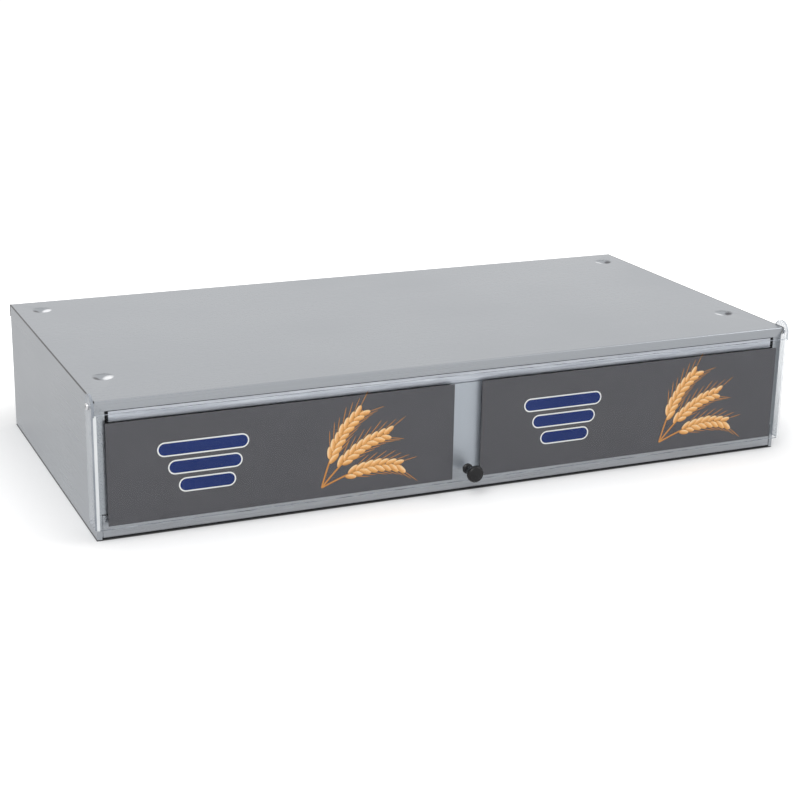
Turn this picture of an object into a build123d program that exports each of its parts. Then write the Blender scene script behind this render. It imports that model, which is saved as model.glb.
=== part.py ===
from build123d import *
from math import asin, cos, radians, sin
import os

# Countertop hot dog bun warmer: a low stainless cabinet that a roller grill stands on.
# A clear one-piece door hangs over the whole front and flips up. Two bun trays stand on a
# heated deck behind it, and the thermostat and switch are on the back.
# Millimetres. X runs to the right, Y to the rear, Z up, origin on the counter under the middle.

os.makedirs("parts", exist_ok=True)

# Cabinet outside
WIDTH = 900.0
DEPTH = 446.0
HEIGHT = 164.0
SHEET = 1.2
BEND = 1.8
FRONT = -DEPTH / 2
REAR = DEPTH / 2
SKIN_GAP = 0.1
PAST = 1.0
SLIP = 0.05
NEAR = 0.01

# Feet
FOOT_HEIGHT = 3.0
FOOT_RADIUS = 16.0
FOOT_INSET = 34.0
FOOT_CHAMFER = 0.8

# Top plate
LIP_HEIGHT = 12.0
REAR_LIP_HEIGHT = 16.0
DIMPLE_RADIUS = 13.0
DIMPLE_DEPTH = 3.2
DIMPLE_SIDE_INSET = 33.0
DIMPLE_FRONT_INSET = 87.0
DIMPLE_REAR_INSET = 44.0

# Front frame
FACE_SETBACK = 3.2
STILE_WIDTH = 12.7
STILE_FOOT_WIDTH = 5.5
SIDE_FOOT_GAP = 1.5
SIDE_TOP_FLANGE = 16.0
SIDE_REAR_FLANGE = 14.0
RAIL_END_GAP = 4.3
BOTTOM_RAIL_HEIGHT = 27.0
PAN_WING_FRONT_GAP = 4.0
PAN_WING_REAR_GAP = 2.0
PAN_WING_DROP = 6.0
RAIL_SEAM = 1.3
TOP_RAIL_FACE = 27.0
RAIL_DEPTH = 20.0
RAIL_TONGUE = 30.0
TONGUE_END_GAP = 0.8
TONGUE_DROP = 13.0
MULLION_WIDTH = 44.0
MULLION_DEPTH = 14.0
BRACE_WIDTH = 40.0
BRACE_HEIGHT = 13.0
BRACE_FOOT = 12.0

# Heated deck and service space
SERVICE_DEPTH = 58.0
SERVICE_LINE = 18.4
INNER_BACK_FLANGE = 9.0
INSULATION = 12.0
INSULATION_INSET = 14.0
INSULATION_CORNER = 12.0
ELEMENT_RADIUS = 3.25
ELEMENT_BEND = 25.0
ELEMENT_FRONT_INSET = 60.0
ELEMENT_REAR_INSET = 54.0
ELEMENT_LEAD_INSET = 50.0
ELEMENT_SIDE_INSET = 40.0
ELEMENT_LEAD_SPACING = 30.0
ELEMENT_TAIL = 16.0
ELEMENT_PIN_RADIUS = 1.5
ELEMENT_PIN = 10.0
ELEMENT_CLIP_INSET = 150.0
ELEMENT_GAP = 0.1
CLIP_SHEET = 0.8
CLIP_WIDTH = 12.0
CLIP_EAR = 8.0
PASS_GAP = 0.35

# Bun trays
TRAY_SHEET = 1.0
TRAY_HEIGHT = 60.0
TRAY_FRONT_HEIGHT = 44.0
TRAY_FRONT_INSET = 46.0
TRAY_REAR_GAP = 4.0
TRAY_SIDE_GAP = 7.0
TRAY_LIFT = 0.3
TRAY_BEND = 3.0
TRAY_WALL_STEP = 0.5
TRAY_HOLE_RADIUS = 4.0
TRAY_HOLE_PITCH = 30.0
TRAY_NOTCH_WIDTH = 110.0
TRAY_NOTCH_DEPTH = 16.0
NOTCH_CUT = 5.0
GUIDE_GAP = 1.5
GUIDE_HEIGHT = 12.0
GUIDE_FOOT = 5.0
GUIDE_FRONT_INSET = 22.0

# Clear door
DOOR_SHEET = 3.0
DOOR_FRONT_GAP = 3.5
DOOR_SIDE_GAP = 0.8
DOOR_BOTTOM = 16.0
DOOR_TOP_DROP = 14.5
DOOR_BEND = 5.0
EAR_RADIUS = 14.0
EAR_OVERLAP = 2.0
PIVOT_SETBACK = 8.0
PIVOT_DROP = 7.0
FLANGE_CORNER = 6.0

# Graphic panels on the inside of the door
GRAPHIC_SHEET = 0.4
GRAPHIC_INNER = 18.2
GRAPHIC_SIDE_MARGIN = 11.4
GRAPHIC_BOTTOM_MARGIN = 2.8
GRAPHIC_TOP_MARGIN = 10.8

# Hinge pins
PIN_RADIUS = 2.5
PIN_RUN = 0.06
PIN_HEAD_RADIUS = 4.2
PIN_HEAD = 2.8
PIN_END_PLAY = 0.2
PIN_THREAD_RADIUS = 1.5
PIN_THREAD = 5.0
PIN_CHAMFER = 0.8
WASHER_RADIUS = 5.0
WASHER_SHEET = 0.7
NUT_FLATS = 5.5
NUT_HEIGHT = 2.4

# Pull knob
KNOB_HEIGHT = 31.7
KNOB_HEAD_RADIUS = 10.5
KNOB_BASE_RADIUS = 6.5
KNOB_WAIST_RADIUS = 4.0
KNOB_LENGTH = 26.0
KNOB_HEAD = 8.0
KNOB_CROWN = 1.2
KNOB_RIM = 1.8
KNOB_SHOULDER = 1.5
KNOB_FOOT = 1.2
KNOB_FLARE = 4.0
KNOB_FLARE_RADIUS = 4.5
KNOB_HEAD_FLARE = 1.6
KNOB_HOLE_COVER = 4.0
KNOB_SCREW_RADIUS = 2.0
KNOB_SCREW_REACH = 12.0
KNOB_WASHER_RADIUS = 5.0
KNOB_WASHER_SHEET = 0.8

# Door bumpers
BUMPER_RADIUS = 4.0
BUMPER_GAP = 0.1
BUMPER_INSET = 25.0
BUMPER_NOSE = 1.5
BUMPER_TAPER = 1.2

# Control plate on the back
CONTROL_INSET = 180.0
PLATE_WIDTH = 180.0
PLATE_LIFT = 40.0
PLATE_TOP_GAP = 16.0
WINDOW_MARGIN = 10.0
PLATE_CORNER = 4.0
REAR_PANEL_INSET = 0.6
REAR_PANEL_LIFT = 0.5
DIAL_SHIFT = 45.0
SWITCH_SHIFT = -30.0
PILOT_SHIFT = -65.0
DIAL_RADIUS = 29.0
DIAL_SHEET = 0.8
DIAL_CHAMFER = 0.4
DIAL_SCREW_SHIFT = 14.0
DIAL_SCREW_HEAD_RADIUS = 3.4
DIAL_SCREW_HEAD = 0.7
DIAL_KNOB_RADIUS = 19.0
DIAL_KNOB_HEIGHT = 24.0
DIAL_KNOB_GAP = 0.6
SKIRT_EDGE = 3.0
SKIRT_SHOULDER = 6.0
SKIRT_HEIGHT = 9.0
SKIRT_TAPER = 1.5
GRIP_WIDTH = 9.0
GRIP_INSET = 2.5
GRIP_EDGE = 2.0
SHAFT_RADIUS = 3.0
SHAFT_LENGTH = 15.0
SHAFT_RUN = 0.06
BUSH_RADIUS = 5.0
THERMOSTAT_SIZE = 36.0
THERMOSTAT_DEPTH = 34.0
THERMOSTAT_CORNER = 3.0
THERMOSTAT_NECK = 2.0
THERMOSTAT_NECK_HEIGHT = 18.0
THERMOSTAT_HOLE = 9.0
THERMOSTAT_TAB_SHIFT = 8.0
TAB_WIDTH = 6.3
TAB_SHEET = 0.8
TAB_LENGTH = 8.0
TAB_OFFSET = 7.0
SWITCH_WIDTH = 25.5
SWITCH_HEIGHT = 31.0
SWITCH_BEZEL = 2.0
SWITCH_BODY_WIDTH = 21.8
SWITCH_BODY_HEIGHT = 27.8
SWITCH_DEPTH = 25.0
SWITCH_CORNER = 1.5
SWITCH_EDGE = 0.8
SWITCH_WELL = 13.0
ROCKER_WIDTH = 17.0
ROCKER_HEIGHT = 22.0
ROCKER_TILT = 9.0
ROCKER_GAP = 0.4
ROCKER_PIN_RADIUS = 1.5
ROCKER_PIN_REACH = 1.4
ROCKER_PIN_SOCKET = 1.5
ROCKER_PIVOT_DEPTH = 5.0
ROCKER_KEEL = 3.0
ROCKER_KEEL_SHARE = 0.55
ROCKER_SIDE = 2.5
ROCKER_LOW_FACE = 4.6
ROCKER_END_FACE = 5.2
ROCKER_TIP = 0.6
ROCKER_EDGE = 0.5
PILOT_RADIUS = 5.9
PILOT_RIM_RADIUS = 8.0
PILOT_DEPTH = 24.0
PILOT_RIM = 1.6
PILOT_RIM_CHAMFER = 0.8
PILOT_LENS = 6.0
PILOT_LENS_RADIUS = 6.0

# Thermostat bulb and its thin tube
BULB_RADIUS = 3.0
BULB_LENGTH = 80.0
BULB_END_INSET = 300.0
BULB_INSET = 24.0
BULB_CLIP_INSET = 15.0
BULB_NOSE = 1.0
BULB_TAIL = 3.0
BULB_NECK_RADIUS = 1.2
BULB_OVERLAP = 0.5
TUBE_DROP = 16.0
TUBE_BACK = 9.0
TUBE_ENTRY_SHIFT = 7.0
TUBE_ENTRY_SETBACK = 3.0
CAPILLARY_RADIUS = 0.8
CAPILLARY_BEND = 6.0

# High limit, terminal block, earth stud and cord gland
LIMIT_INSET = 90.0
LIMIT_Z = 60.0
LIMIT_RADIUS = 8.0
LIMIT_DEPTH = 9.0
LIMIT_FLANGE_RADIUS = 12.0
LIMIT_FLANGE = 0.8
LIMIT_TAB_SHARE = 0.65
BLOCK_SHIFT = 58.0
BLOCK_WIDTH = 30.0
BLOCK_DEPTH = 18.0
BLOCK_HEIGHT = 17.0
BLOCK_PITCH = 8.0
BLOCK_CORNER = 2.0
BLOCK_SLOT_WIDTH = 1.2
BLOCK_SLOT_DEPTH = 5.0
EARTH_FOOT_GAP = 44.0
EARTH_RADIUS = 2.5
EARTH_HEIGHT = 16.0
EARTH_HEAD_RADIUS = 4.5
EARTH_HEAD = 1.6
EARTH_START = 1.4
EARTH_WASHER_RADIUS = 5.0
EARTH_WASHER = 1.0
EARTH_NUT_FLATS = 8.0
EARTH_NUT = 4.0
GLAND_SHIFT = 2.0
GLAND_Z = 60.0
GLAND_BORE_RADIUS = 4.5
GLAND_THREAD_RADIUS = 9.8
GLAND_HEX = 24.0
GLAND_HEX_LENGTH = 6.0
GLAND_DOME_RADIUS = 11.5
GLAND_DOME = 16.0
GLAND_THREAD = 10.0
GLAND_NUT = 5.0
GLAND_NUT_EXTRA = 2.0
GLAND_SHOULDER = 1.6
GLAND_LIP = 2.0
GLAND_OVERLAP = 0.5
WIRE_RADIUS = 1.2
WIRE_BEND = 4.0
WIRE_SWITCH_DROP = 20.0
WIRE_LEAD_DROP = 20.0
WIRE_LIVE_RISE = 25.0
WIRE_EARTH_RISE = 12.0
WIRE_REACH = 7.0
WIRE_PIN_GAP = 0.1

# Screws and rear vents
SCREW_RADIUS = 2.0
SCREW_HEAD_RADIUS = 3.9
SCREW_HEAD = 2.3
SCREW_LENGTH = 8.0
SCREW_GAP = 0.15
TOP_SCREWS = 5
BOTTOM_SCREWS = 4
BOTTOM_SCREW_INSET = 50.0
SIDE_SCREW_Z = (60.0, 110.0)
SIDE_SCREW_INSET = 7.0
VENT_COUNT = 12
VENT_PITCH = 14.0
VENT_WIDTH = 4.0
VENT_LENGTH = 34.0
VENT_DROP = 64.0
VENT_X = (-260.0, 0.0)

# Levels and planes that follow from the sizes above
HALF = WIDTH / 2
THROUGH = SHEET + 2 * PAST
CONTROL_X = HALF - CONTROL_INSET
BULB_X = HALF - BULB_END_INSET
LIMIT_X = HALF - LIMIT_INSET
EARTH_X = FOOT_RADIUS + EARTH_FOOT_GAP
BLOCK_X = EARTH_X + BLOCK_SHIFT
GLAND_X = BLOCK_X + GLAND_SHIFT
PLATE_UNDER = HEIGHT - SHEET
LIP_Z = HEIGHT - LIP_HEIGHT
FACE = FRONT + FACE_SETBACK
FACE_BACK = FACE + SHEET
SHELL_REAR = REAR - 2 * SHEET
REAR_FACE = REAR - SHEET
BASE_TOP = FOOT_HEIGHT + SHEET
RAIL_TOP = FOOT_HEIGHT + BOTTOM_RAIL_HEIGHT
DECK_UNDER = RAIL_TOP - SHEET
TOP_RAIL_Z = HEIGHT - TOP_RAIL_FACE
RAIL_HALF = HALF - STILE_WIDTH - RAIL_END_GAP
BASE_HALF = HALF - SHEET - SKIN_GAP
BASE_FRONT_HALF = HALF - STILE_FOOT_WIDTH - RAIL_SEAM
INNER_BACK = SHELL_REAR - SERVICE_DEPTH - SHEET
INNER_BACK_REAR = INNER_BACK + SHEET
ELEMENT_Z = DECK_UNDER - ELEMENT_GAP - ELEMENT_RADIUS
ELEMENT_LEAD_X = (HALF - ELEMENT_LEAD_INSET, HALF - ELEMENT_LEAD_INSET + ELEMENT_LEAD_SPACING)
TRAY_INNER = GRAPHIC_INNER + TRAY_SIDE_GAP
TRAY_OUTER = HALF - STILE_WIDTH - TRAY_SIDE_GAP
TRAY_FLOOR = RAIL_TOP + TRAY_LIFT
TRAY_BACK = INNER_BACK - TRAY_REAR_GAP
TRAY_FRONT = FRONT + TRAY_FRONT_INSET
DOOR_INNER = FRONT - DOOR_FRONT_GAP
DOOR_OUTER = DOOR_INNER - DOOR_SHEET
DOOR_SIDE_INNER = HALF + DOOR_SIDE_GAP
DOOR_SIDE_OUTER = DOOR_SIDE_INNER + DOOR_SHEET
PIVOT_Y = FRONT + PIVOT_SETBACK
PIVOT_HEIGHT = HEIGHT - PIVOT_DROP
DOOR_TOP = HEIGHT - DOOR_TOP_DROP
EAR_BACK = PIVOT_Y + EAR_RADIUS
GRAPHIC_OUTER = HALF - GRAPHIC_SIDE_MARGIN
GRAPHIC_BOTTOM = DOOR_BOTTOM + GRAPHIC_BOTTOM_MARGIN
GRAPHIC_TOP = DOOR_TOP - GRAPHIC_TOP_MARGIN
BUMPER_Z = (GRAPHIC_BOTTOM + RAIL_TOP) / 2
SERVICE_Y = INNER_BACK_REAR + SERVICE_LINE
PLATE_HEIGHT = HEIGHT - REAR_LIP_HEIGHT - PLATE_TOP_GAP - PLATE_LIFT
CONTROL_Z = PLATE_LIFT + PLATE_HEIGHT / 2
VENT_Z = HEIGHT - VENT_DROP
DIAL_X = CONTROL_X + DIAL_SHIFT
SWITCH_X = CONTROL_X + SWITCH_SHIFT
PILOT_X = CONTROL_X + PILOT_SHIFT
PLATE_OUTER = REAR_FACE + SHEET
LIP_SCREW_Z = HEIGHT - REAR_LIP_HEIGHT / 2
BASE_SCREW_Z = FOOT_HEIGHT + BOTTOM_RAIL_HEIGHT / 2
TOP_SCREW_X = [(HALF - SIDE_SCREW_INSET) * (2 * i / (TOP_SCREWS - 1) - 1) for i in range(TOP_SCREWS)]
BOTTOM_SCREW_X = [
    (HALF - BOTTOM_SCREW_INSET) * (2 * i / (BOTTOM_SCREWS - 1) - 1) for i in range(BOTTOM_SCREWS)
]
TOP_DIMPLES = [
    (side * (HALF - DIMPLE_SIDE_INSET), y)
    for side in (-1, 1)
    for y in (FRONT + DIMPLE_FRONT_INSET, REAR - DIMPLE_REAR_INSET)
]


def save(piece, name):
    piece.part.label = name
    export_step(piece.part, f"parts/{name}.step")


def slab(x, y, z, mode=Mode.ADD):
    """A plain block between pairs of x, y and z, each pair in either order."""
    with BuildSketch(Plane.XY.offset(min(z))) as outline:
        with Locations((sum(x) / 2, sum(y) / 2)):
            Rectangle(abs(x[1] - x[0]), abs(y[1] - y[0]))
    extrude(outline.sketch, amount=abs(z[1] - z[0]), mode=mode)


def rod(start, direction, radius, length, mode=Mode.ADD):
    with BuildSketch(Plane(origin=start, z_dir=direction)) as disc:
        Circle(radius)
    extrude(disc.sketch, amount=length, mode=mode)


def hexagon(start, direction, flats, length, mode=Mode.ADD):
    with BuildSketch(Plane(origin=start, z_dir=direction)) as six:
        RegularPolygon(flats / 2, 6, major_radius=False, rotation=0)
    extrude(six.sketch, amount=length, mode=mode)


def turned(origin, direction, outline, mode=Mode.ADD):
    """A solid of revolution: outline holds (radius, height) points along direction."""
    along = Vector(*direction)
    radial = Vector(1, 0, 0) if abs(along.X) < 0.5 else Vector(0, 1, 0)
    with BuildSketch(Plane(origin=origin, x_dir=radial, z_dir=radial.cross(along))) as section:
        with BuildLine():
            Polyline(*outline, close=True)
        make_face()
    revolve(section.sketch, axis=Axis(origin, direction), mode=mode)


def prism_y(outline, y, mode=Mode.ADD):
    """Extrudes (x, z) points between two y values."""
    with BuildSketch(Plane.XZ.offset(-max(y))) as section:
        with BuildLine():
            Polyline(*outline, close=True)
        make_face()
    extrude(section.sketch, amount=abs(y[1] - y[0]), mode=mode)


def tube_run(points, radius, bend):
    """A round bar or wire along straight runs joined by arcs of one radius."""
    with BuildLine() as route:
        FilletPolyline(*points, radius=bend)
    with BuildSketch(Plane(origin=route.line @ 0, z_dir=route.line % 0)) as disc:
        Circle(radius)
    sweep(disc.sketch, path=route.line)


def pan_screw(seat, direction, shank, head_radius=SCREW_HEAD_RADIUS, head=SCREW_HEAD,
              length=SCREW_LENGTH):
    """A pan-head screw with its head standing on seat and its shank going the other way."""
    edge = head * 0.45
    shoulder = head_radius * 0.72
    turned(
        seat,
        direction,
        [
            (0, -length),
            (shank, -length),
            (shank, 0),
            (head_radius, 0),
            (head_radius, edge),
            (shoulder, head * 0.9),
            (shoulder * 0.5, head),
            (0, head),
        ],
    )


def dimple(x, y):
    """A round dish pressed down into the top plate."""
    dish_ball = (DIMPLE_RADIUS**2 + DIMPLE_DEPTH**2) / (2 * DIMPLE_DEPTH)
    centre = dish_ball - DIMPLE_DEPTH
    shell_ball = dish_ball + SHEET
    shell_radius = (shell_ball**2 - (centre + SHEET) ** 2) ** 0.5
    cap(x, y, centre, shell_ball, shell_radius, -SHEET, Mode.ADD)
    cap(x, y, centre, dish_ball, DIMPLE_RADIUS, 0, Mode.SUBTRACT)


def cap(x, y, centre, ball, radius, level, mode):
    """The part of a ball, centred above the top plate, that lies below a level under its face."""
    middle = Plane(origin=(x, y, HEIGHT), x_dir=(1, 0, 0), z_dir=(0, -1, 0))
    half_way = asin(radius / ball) / 2
    with BuildSketch(middle) as section:
        with BuildLine():
            Line((0, level), (radius, level))
            ThreePointArc(
                (radius, level),
                (ball * sin(half_way), centre - ball * cos(half_way)),
                (0, centre - ball),
            )
            Line((0, centre - ball), (0, level))
        make_face()
    revolve(section.sketch, axis=Axis((x, y, 0), (0, 0, 1)), mode=mode)


def top_plate():
    lip = [
        (FRONT, LIP_Z),
        (FRONT, HEIGHT),
        (REAR, HEIGHT),
        (REAR, HEIGHT - REAR_LIP_HEIGHT),
        (REAR - SHEET, HEIGHT - REAR_LIP_HEIGHT),
        (REAR - SHEET, PLATE_UNDER),
        (FRONT + SHEET, PLATE_UNDER),
        (FRONT + SHEET, LIP_Z),
    ]
    with BuildPart() as plate:
        with BuildSketch(Plane.YZ.offset(-HALF)) as section:
            with BuildLine():
                Polyline(*lip, close=True)
            make_face()
            levels = section.vertices().group_by(Axis.Y)
            fillet(levels[-1], radius=BEND)
            fillet(levels[-2], radius=BEND - SHEET)
        extrude(amount=WIDTH)
        mitre = PLATE_UNDER - LIP_Z + PAST
        for side in (-1, 1):
            corner = [
                (side * (HALF + PAST), PLATE_UNDER),
                (side * HALF, PLATE_UNDER),
                (side * (HALF - mitre), LIP_Z - PAST),
                (side * (HALF + PAST), LIP_Z - PAST),
            ]
            prism_y(corner, (FRONT - PAST, FRONT + SHEET + PAST), mode=Mode.SUBTRACT)
        for x, y in TOP_DIMPLES:
            dimple(x, y)
        for x in TOP_SCREW_X:
            rod((x, REAR + PAST, LIP_SCREW_Z), (0, -1, 0), SCREW_RADIUS + SCREW_GAP, THROUGH,
                Mode.SUBTRACT)
    save(plate, "top_plate")


def side_panel(side, name):
    edge = side * HALF
    outline = [
        (edge, FACE),
        (side * (HALF - STILE_WIDTH), FACE),
        (side * (HALF - STILE_WIDTH), FACE_BACK),
        (side * (HALF - SHEET), FACE_BACK),
        (side * (HALF - SHEET), SHELL_REAR - SHEET),
        (side * (HALF - SIDE_REAR_FLANGE), SHELL_REAR - SHEET),
        (side * (HALF - SIDE_REAR_FLANGE), SHELL_REAR),
        (edge, SHELL_REAR),
    ]
    with BuildPart() as panel:
        with BuildSketch(Plane.XY.offset(SIDE_FOOT_GAP)) as plan:
            with BuildLine():
                Polyline(*outline, close=True)
            make_face()
            corners = plan.vertices().sort_by(lambda v: side * v.X)
            fillet(corners[-2:], radius=BEND)
            fillet(corners[-4:-2], radius=BEND - SHEET)
        extrude(amount=PLATE_UNDER - SIDE_FOOT_GAP)
        slab((edge - side * SHEET / 2, side * (HALF - SIDE_TOP_FLANGE)),
             (FACE_BACK + STILE_WIDTH, SHELL_REAR - SHEET), (PLATE_UNDER - SHEET, PLATE_UNDER))
        # The stile is notched round the bottom rail.
        inner = side * (HALF - STILE_WIDTH - PAST)
        slab((inner, side * (HALF - STILE_FOOT_WIDTH)), (FACE - PAST, FACE_BACK + SLIP),
             (0, RAIL_TOP + RAIL_SEAM), Mode.SUBTRACT)
        slab((side * (HALF - SIDE_REAR_FLANGE - PAST), side * (HALF - SHEET)),
             (SHELL_REAR - SHEET - SLIP, SHELL_REAR + PAST), (PLATE_UNDER - SHEET, HEIGHT), Mode.SUBTRACT)
        rod((side * (HALF + PAST), PIVOT_Y, PIVOT_HEIGHT), (-side, 0, 0), PIN_THREAD_RADIUS + SCREW_GAP,
            THROUGH, Mode.SUBTRACT)
        for z in (*SIDE_SCREW_Z, LIP_SCREW_Z):
            rod((side * (HALF - SIDE_SCREW_INSET), SHELL_REAR + PAST, z), (0, -1, 0),
                SCREW_RADIUS + SCREW_GAP, THROUGH, Mode.SUBTRACT)
    save(panel, name)


def base_pan():
    section_points = [
        (FACE, RAIL_TOP),
        (FACE, FOOT_HEIGHT),
        (SHELL_REAR, FOOT_HEIGHT),
        (SHELL_REAR, RAIL_TOP - SHEET),
        (SHELL_REAR - SHEET, RAIL_TOP - SHEET),
        (SHELL_REAR - SHEET, BASE_TOP),
        (FACE_BACK, BASE_TOP),
        (FACE_BACK, RAIL_TOP),
    ]
    with BuildPart() as pan:
        with BuildSketch(Plane.YZ.offset(-BASE_HALF)) as section:
            with BuildLine():
                Polyline(*section_points, close=True)
            make_face()
            levels = section.vertices().group_by(Axis.Y)
            fillet(levels[0], radius=BEND)
            fillet(levels[1], radius=BEND - SHEET)
        extrude(amount=2 * BASE_HALF)
        for side in (-1, 1):
            slab((side * BASE_FRONT_HALF, side * HALF), (FACE - PAST, FACE_BACK + SKIN_GAP + BEND),
                 (0, HEIGHT), Mode.SUBTRACT)
            slab((side * (HALF - SIDE_REAR_FLANGE - SKIN_GAP), side * HALF),
                 (SHELL_REAR - SHEET - SKIN_GAP, REAR), (0, HEIGHT), Mode.SUBTRACT)
            slab((side * BASE_HALF, side * (BASE_HALF - SHEET)),
                 (FACE_BACK + PAN_WING_FRONT_GAP, INNER_BACK - PAN_WING_REAR_GAP),
                 (FOOT_HEIGHT, RAIL_TOP - PAN_WING_DROP))
        for x in BOTTOM_SCREW_X:
            rod((x, SHELL_REAR + PAST, BASE_SCREW_Z), (0, -1, 0), SCREW_RADIUS + SCREW_GAP, THROUGH,
                Mode.SUBTRACT)
        rod((EARTH_X, SERVICE_Y, FOOT_HEIGHT - PAST), (0, 0, 1), EARTH_RADIUS + SCREW_GAP, THROUGH,
            Mode.SUBTRACT)
    save(pan, "base_pan")


def rear_panel():
    with BuildPart() as panel:
        slab((-HALF + REAR_PANEL_INSET, HALF - REAR_PANEL_INSET), (SHELL_REAR, REAR_FACE),
             (SIDE_FOOT_GAP + REAR_PANEL_LIFT, PLATE_UNDER - SKIN_GAP))
        window_x = PLATE_WIDTH / 2 - WINDOW_MARGIN
        window_z = PLATE_HEIGHT / 2 - WINDOW_MARGIN
        slab((CONTROL_X - window_x, CONTROL_X + window_x), (SHELL_REAR - PAST, REAR),
             (CONTROL_Z - window_z, CONTROL_Z + window_z), Mode.SUBTRACT)
        for x, z in rear_screw_places():
            rod((x, SHELL_REAR - PAST, z), (0, 1, 0), SCREW_RADIUS + SCREW_GAP, THROUGH, Mode.SUBTRACT)
        for x, z in plate_screw_places():
            rod((x, SHELL_REAR - PAST, z), (0, 1, 0), SCREW_RADIUS + SCREW_GAP, THROUGH, Mode.SUBTRACT)
        rod((GLAND_X, SHELL_REAR - PAST, GLAND_Z), (0, 1, 0), GLAND_THREAD_RADIUS + SCREW_GAP, THROUGH,
            Mode.SUBTRACT)
        for middle in VENT_X:
            with BuildSketch(Plane.XZ.offset(-REAR_FACE - PAST)) as vents:
                with Locations((middle, VENT_Z)):
                    with GridLocations(VENT_PITCH, 1, VENT_COUNT, 1):
                        SlotOverall(VENT_LENGTH, VENT_WIDTH, rotation=90)
            extrude(vents.sketch, amount=THROUGH, mode=Mode.SUBTRACT)
    save(panel, "rear_panel")


def rear_screw_places():
    """Screws in the back, as (x, z): under the top lip, down the sides and along the base."""
    top = [(x, LIP_SCREW_Z) for x in TOP_SCREW_X]
    sides = [(side * (HALF - SIDE_SCREW_INSET), z) for side in (-1, 1) for z in SIDE_SCREW_Z]
    bottom = [(x, BASE_SCREW_Z) for x in BOTTOM_SCREW_X]
    return top + sides + bottom


def plate_screw_places():
    across = PLATE_WIDTH / 2 - WINDOW_MARGIN / 2
    up = PLATE_HEIGHT / 2 - WINDOW_MARGIN / 2
    return [(CONTROL_X + i * across, CONTROL_Z + j * up) for i in (-1, 1) for j in (-1, 1)]


def top_front_rail():
    points = [
        (FACE, TOP_RAIL_Z),
        (FACE, PLATE_UNDER),
        (FACE + RAIL_DEPTH, PLATE_UNDER),
        (FACE + RAIL_DEPTH, PLATE_UNDER - SHEET),
        (FACE_BACK, PLATE_UNDER - SHEET),
        (FACE_BACK, TOP_RAIL_Z + SHEET),
        (FACE + MULLION_DEPTH, TOP_RAIL_Z + SHEET),
        (FACE + MULLION_DEPTH, TOP_RAIL_Z),
    ]
    with BuildPart() as rail:
        with BuildSketch(Plane.YZ.offset(-RAIL_HALF)) as section:
            with BuildLine():
                Polyline(*points, close=True)
            make_face()
            fillet(section.vertices().group_by(Axis.X)[0], radius=BEND)
        extrude(amount=2 * RAIL_HALF)
        for side in (-1, 1):
            slab((side * (RAIL_HALF - RAIL_TONGUE), side * (HALF - SHEET - TONGUE_END_GAP)),
                 (FACE_BACK, FACE_BACK + SHEET),
                 (TOP_RAIL_Z + SHEET, PLATE_UNDER - TONGUE_DROP))
    save(rail, "top_front_rail")


def centre_mullion():
    half = MULLION_WIDTH / 2
    with BuildPart() as mullion:
        with BuildSketch(Plane.XY.offset(RAIL_TOP)) as plan:
            with BuildLine():
                Polyline(
                    (-half, FACE),
                    (half, FACE),
                    (half, FACE + MULLION_DEPTH),
                    (half - SHEET, FACE + MULLION_DEPTH),
                    (half - SHEET, FACE_BACK),
                    (-half + SHEET, FACE_BACK),
                    (-half + SHEET, FACE + MULLION_DEPTH),
                    (-half, FACE + MULLION_DEPTH),
                    close=True,
                )
            make_face()
            fillet(plan.vertices().group_by(Axis.Y)[0], radius=BEND)
        extrude(amount=TOP_RAIL_Z - RAIL_TOP)
        for z in (RAIL_TOP, TOP_RAIL_Z - SHEET):
            slab((-half + SHEET / 2, half - SHEET / 2), (FACE_BACK - SHEET / 2, FACE + MULLION_DEPTH),
                 (z, z + SHEET))
    save(mullion, "centre_mullion")


def top_brace():
    """A hat channel under the top plate, from the front rail to the inner back."""
    half = BRACE_WIDTH / 2
    low = PLATE_UNDER - BRACE_HEIGHT
    points = [
        (-half - BRACE_FOOT, PLATE_UNDER),
        (-half - BRACE_FOOT, PLATE_UNDER - SHEET),
        (-half, PLATE_UNDER - SHEET),
        (-half, low),
        (half, low),
        (half, PLATE_UNDER - SHEET),
        (half + BRACE_FOOT, PLATE_UNDER - SHEET),
        (half + BRACE_FOOT, PLATE_UNDER),
        (half - SHEET, PLATE_UNDER),
        (half - SHEET, low + SHEET),
        (-half + SHEET, low + SHEET),
        (-half + SHEET, PLATE_UNDER),
    ]
    with BuildPart() as brace:
        prism_y(points, (FACE + RAIL_DEPTH, INNER_BACK))
    save(brace, "top_brace")


def inner_back_panel():
    flange = INNER_BACK_FLANGE
    top = PLATE_UNDER - 2 * SHEET
    with BuildPart() as panel:
        slab((-BASE_HALF, BASE_HALF), (INNER_BACK, INNER_BACK_REAR), (BASE_TOP, top))
        slab((-BASE_HALF, BASE_HALF), (INNER_BACK, INNER_BACK + flange), (BASE_TOP, BASE_TOP + SHEET))
        for side in (-1, 1):
            slab((side * BASE_HALF, side * (BASE_HALF - SHEET)), (INNER_BACK, INNER_BACK + flange),
                 (BASE_TOP, top))
        reach = HALF - DIMPLE_SIDE_INSET - 2 * DIMPLE_RADIUS
        slab((-reach, reach), (INNER_BACK, INNER_BACK_REAR), (top, PLATE_UNDER))
        slab((-reach, reach), (INNER_BACK, INNER_BACK + flange), (PLATE_UNDER - SHEET, PLATE_UNDER))
        for x in ELEMENT_LEAD_X:
            rod((x, INNER_BACK - PAST, ELEMENT_Z), (0, 1, 0), ELEMENT_RADIUS + PASS_GAP, THROUGH,
                Mode.SUBTRACT)
        rod((capillary_x(), INNER_BACK - PAST, ELEMENT_Z), (0, 1, 0), CAPILLARY_RADIUS + PASS_GAP,
            THROUGH, Mode.SUBTRACT)
    save(panel, "inner_back_panel")


def capillary_x():
    return BULB_X + BULB_LENGTH + 4 * CAPILLARY_BEND


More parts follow.
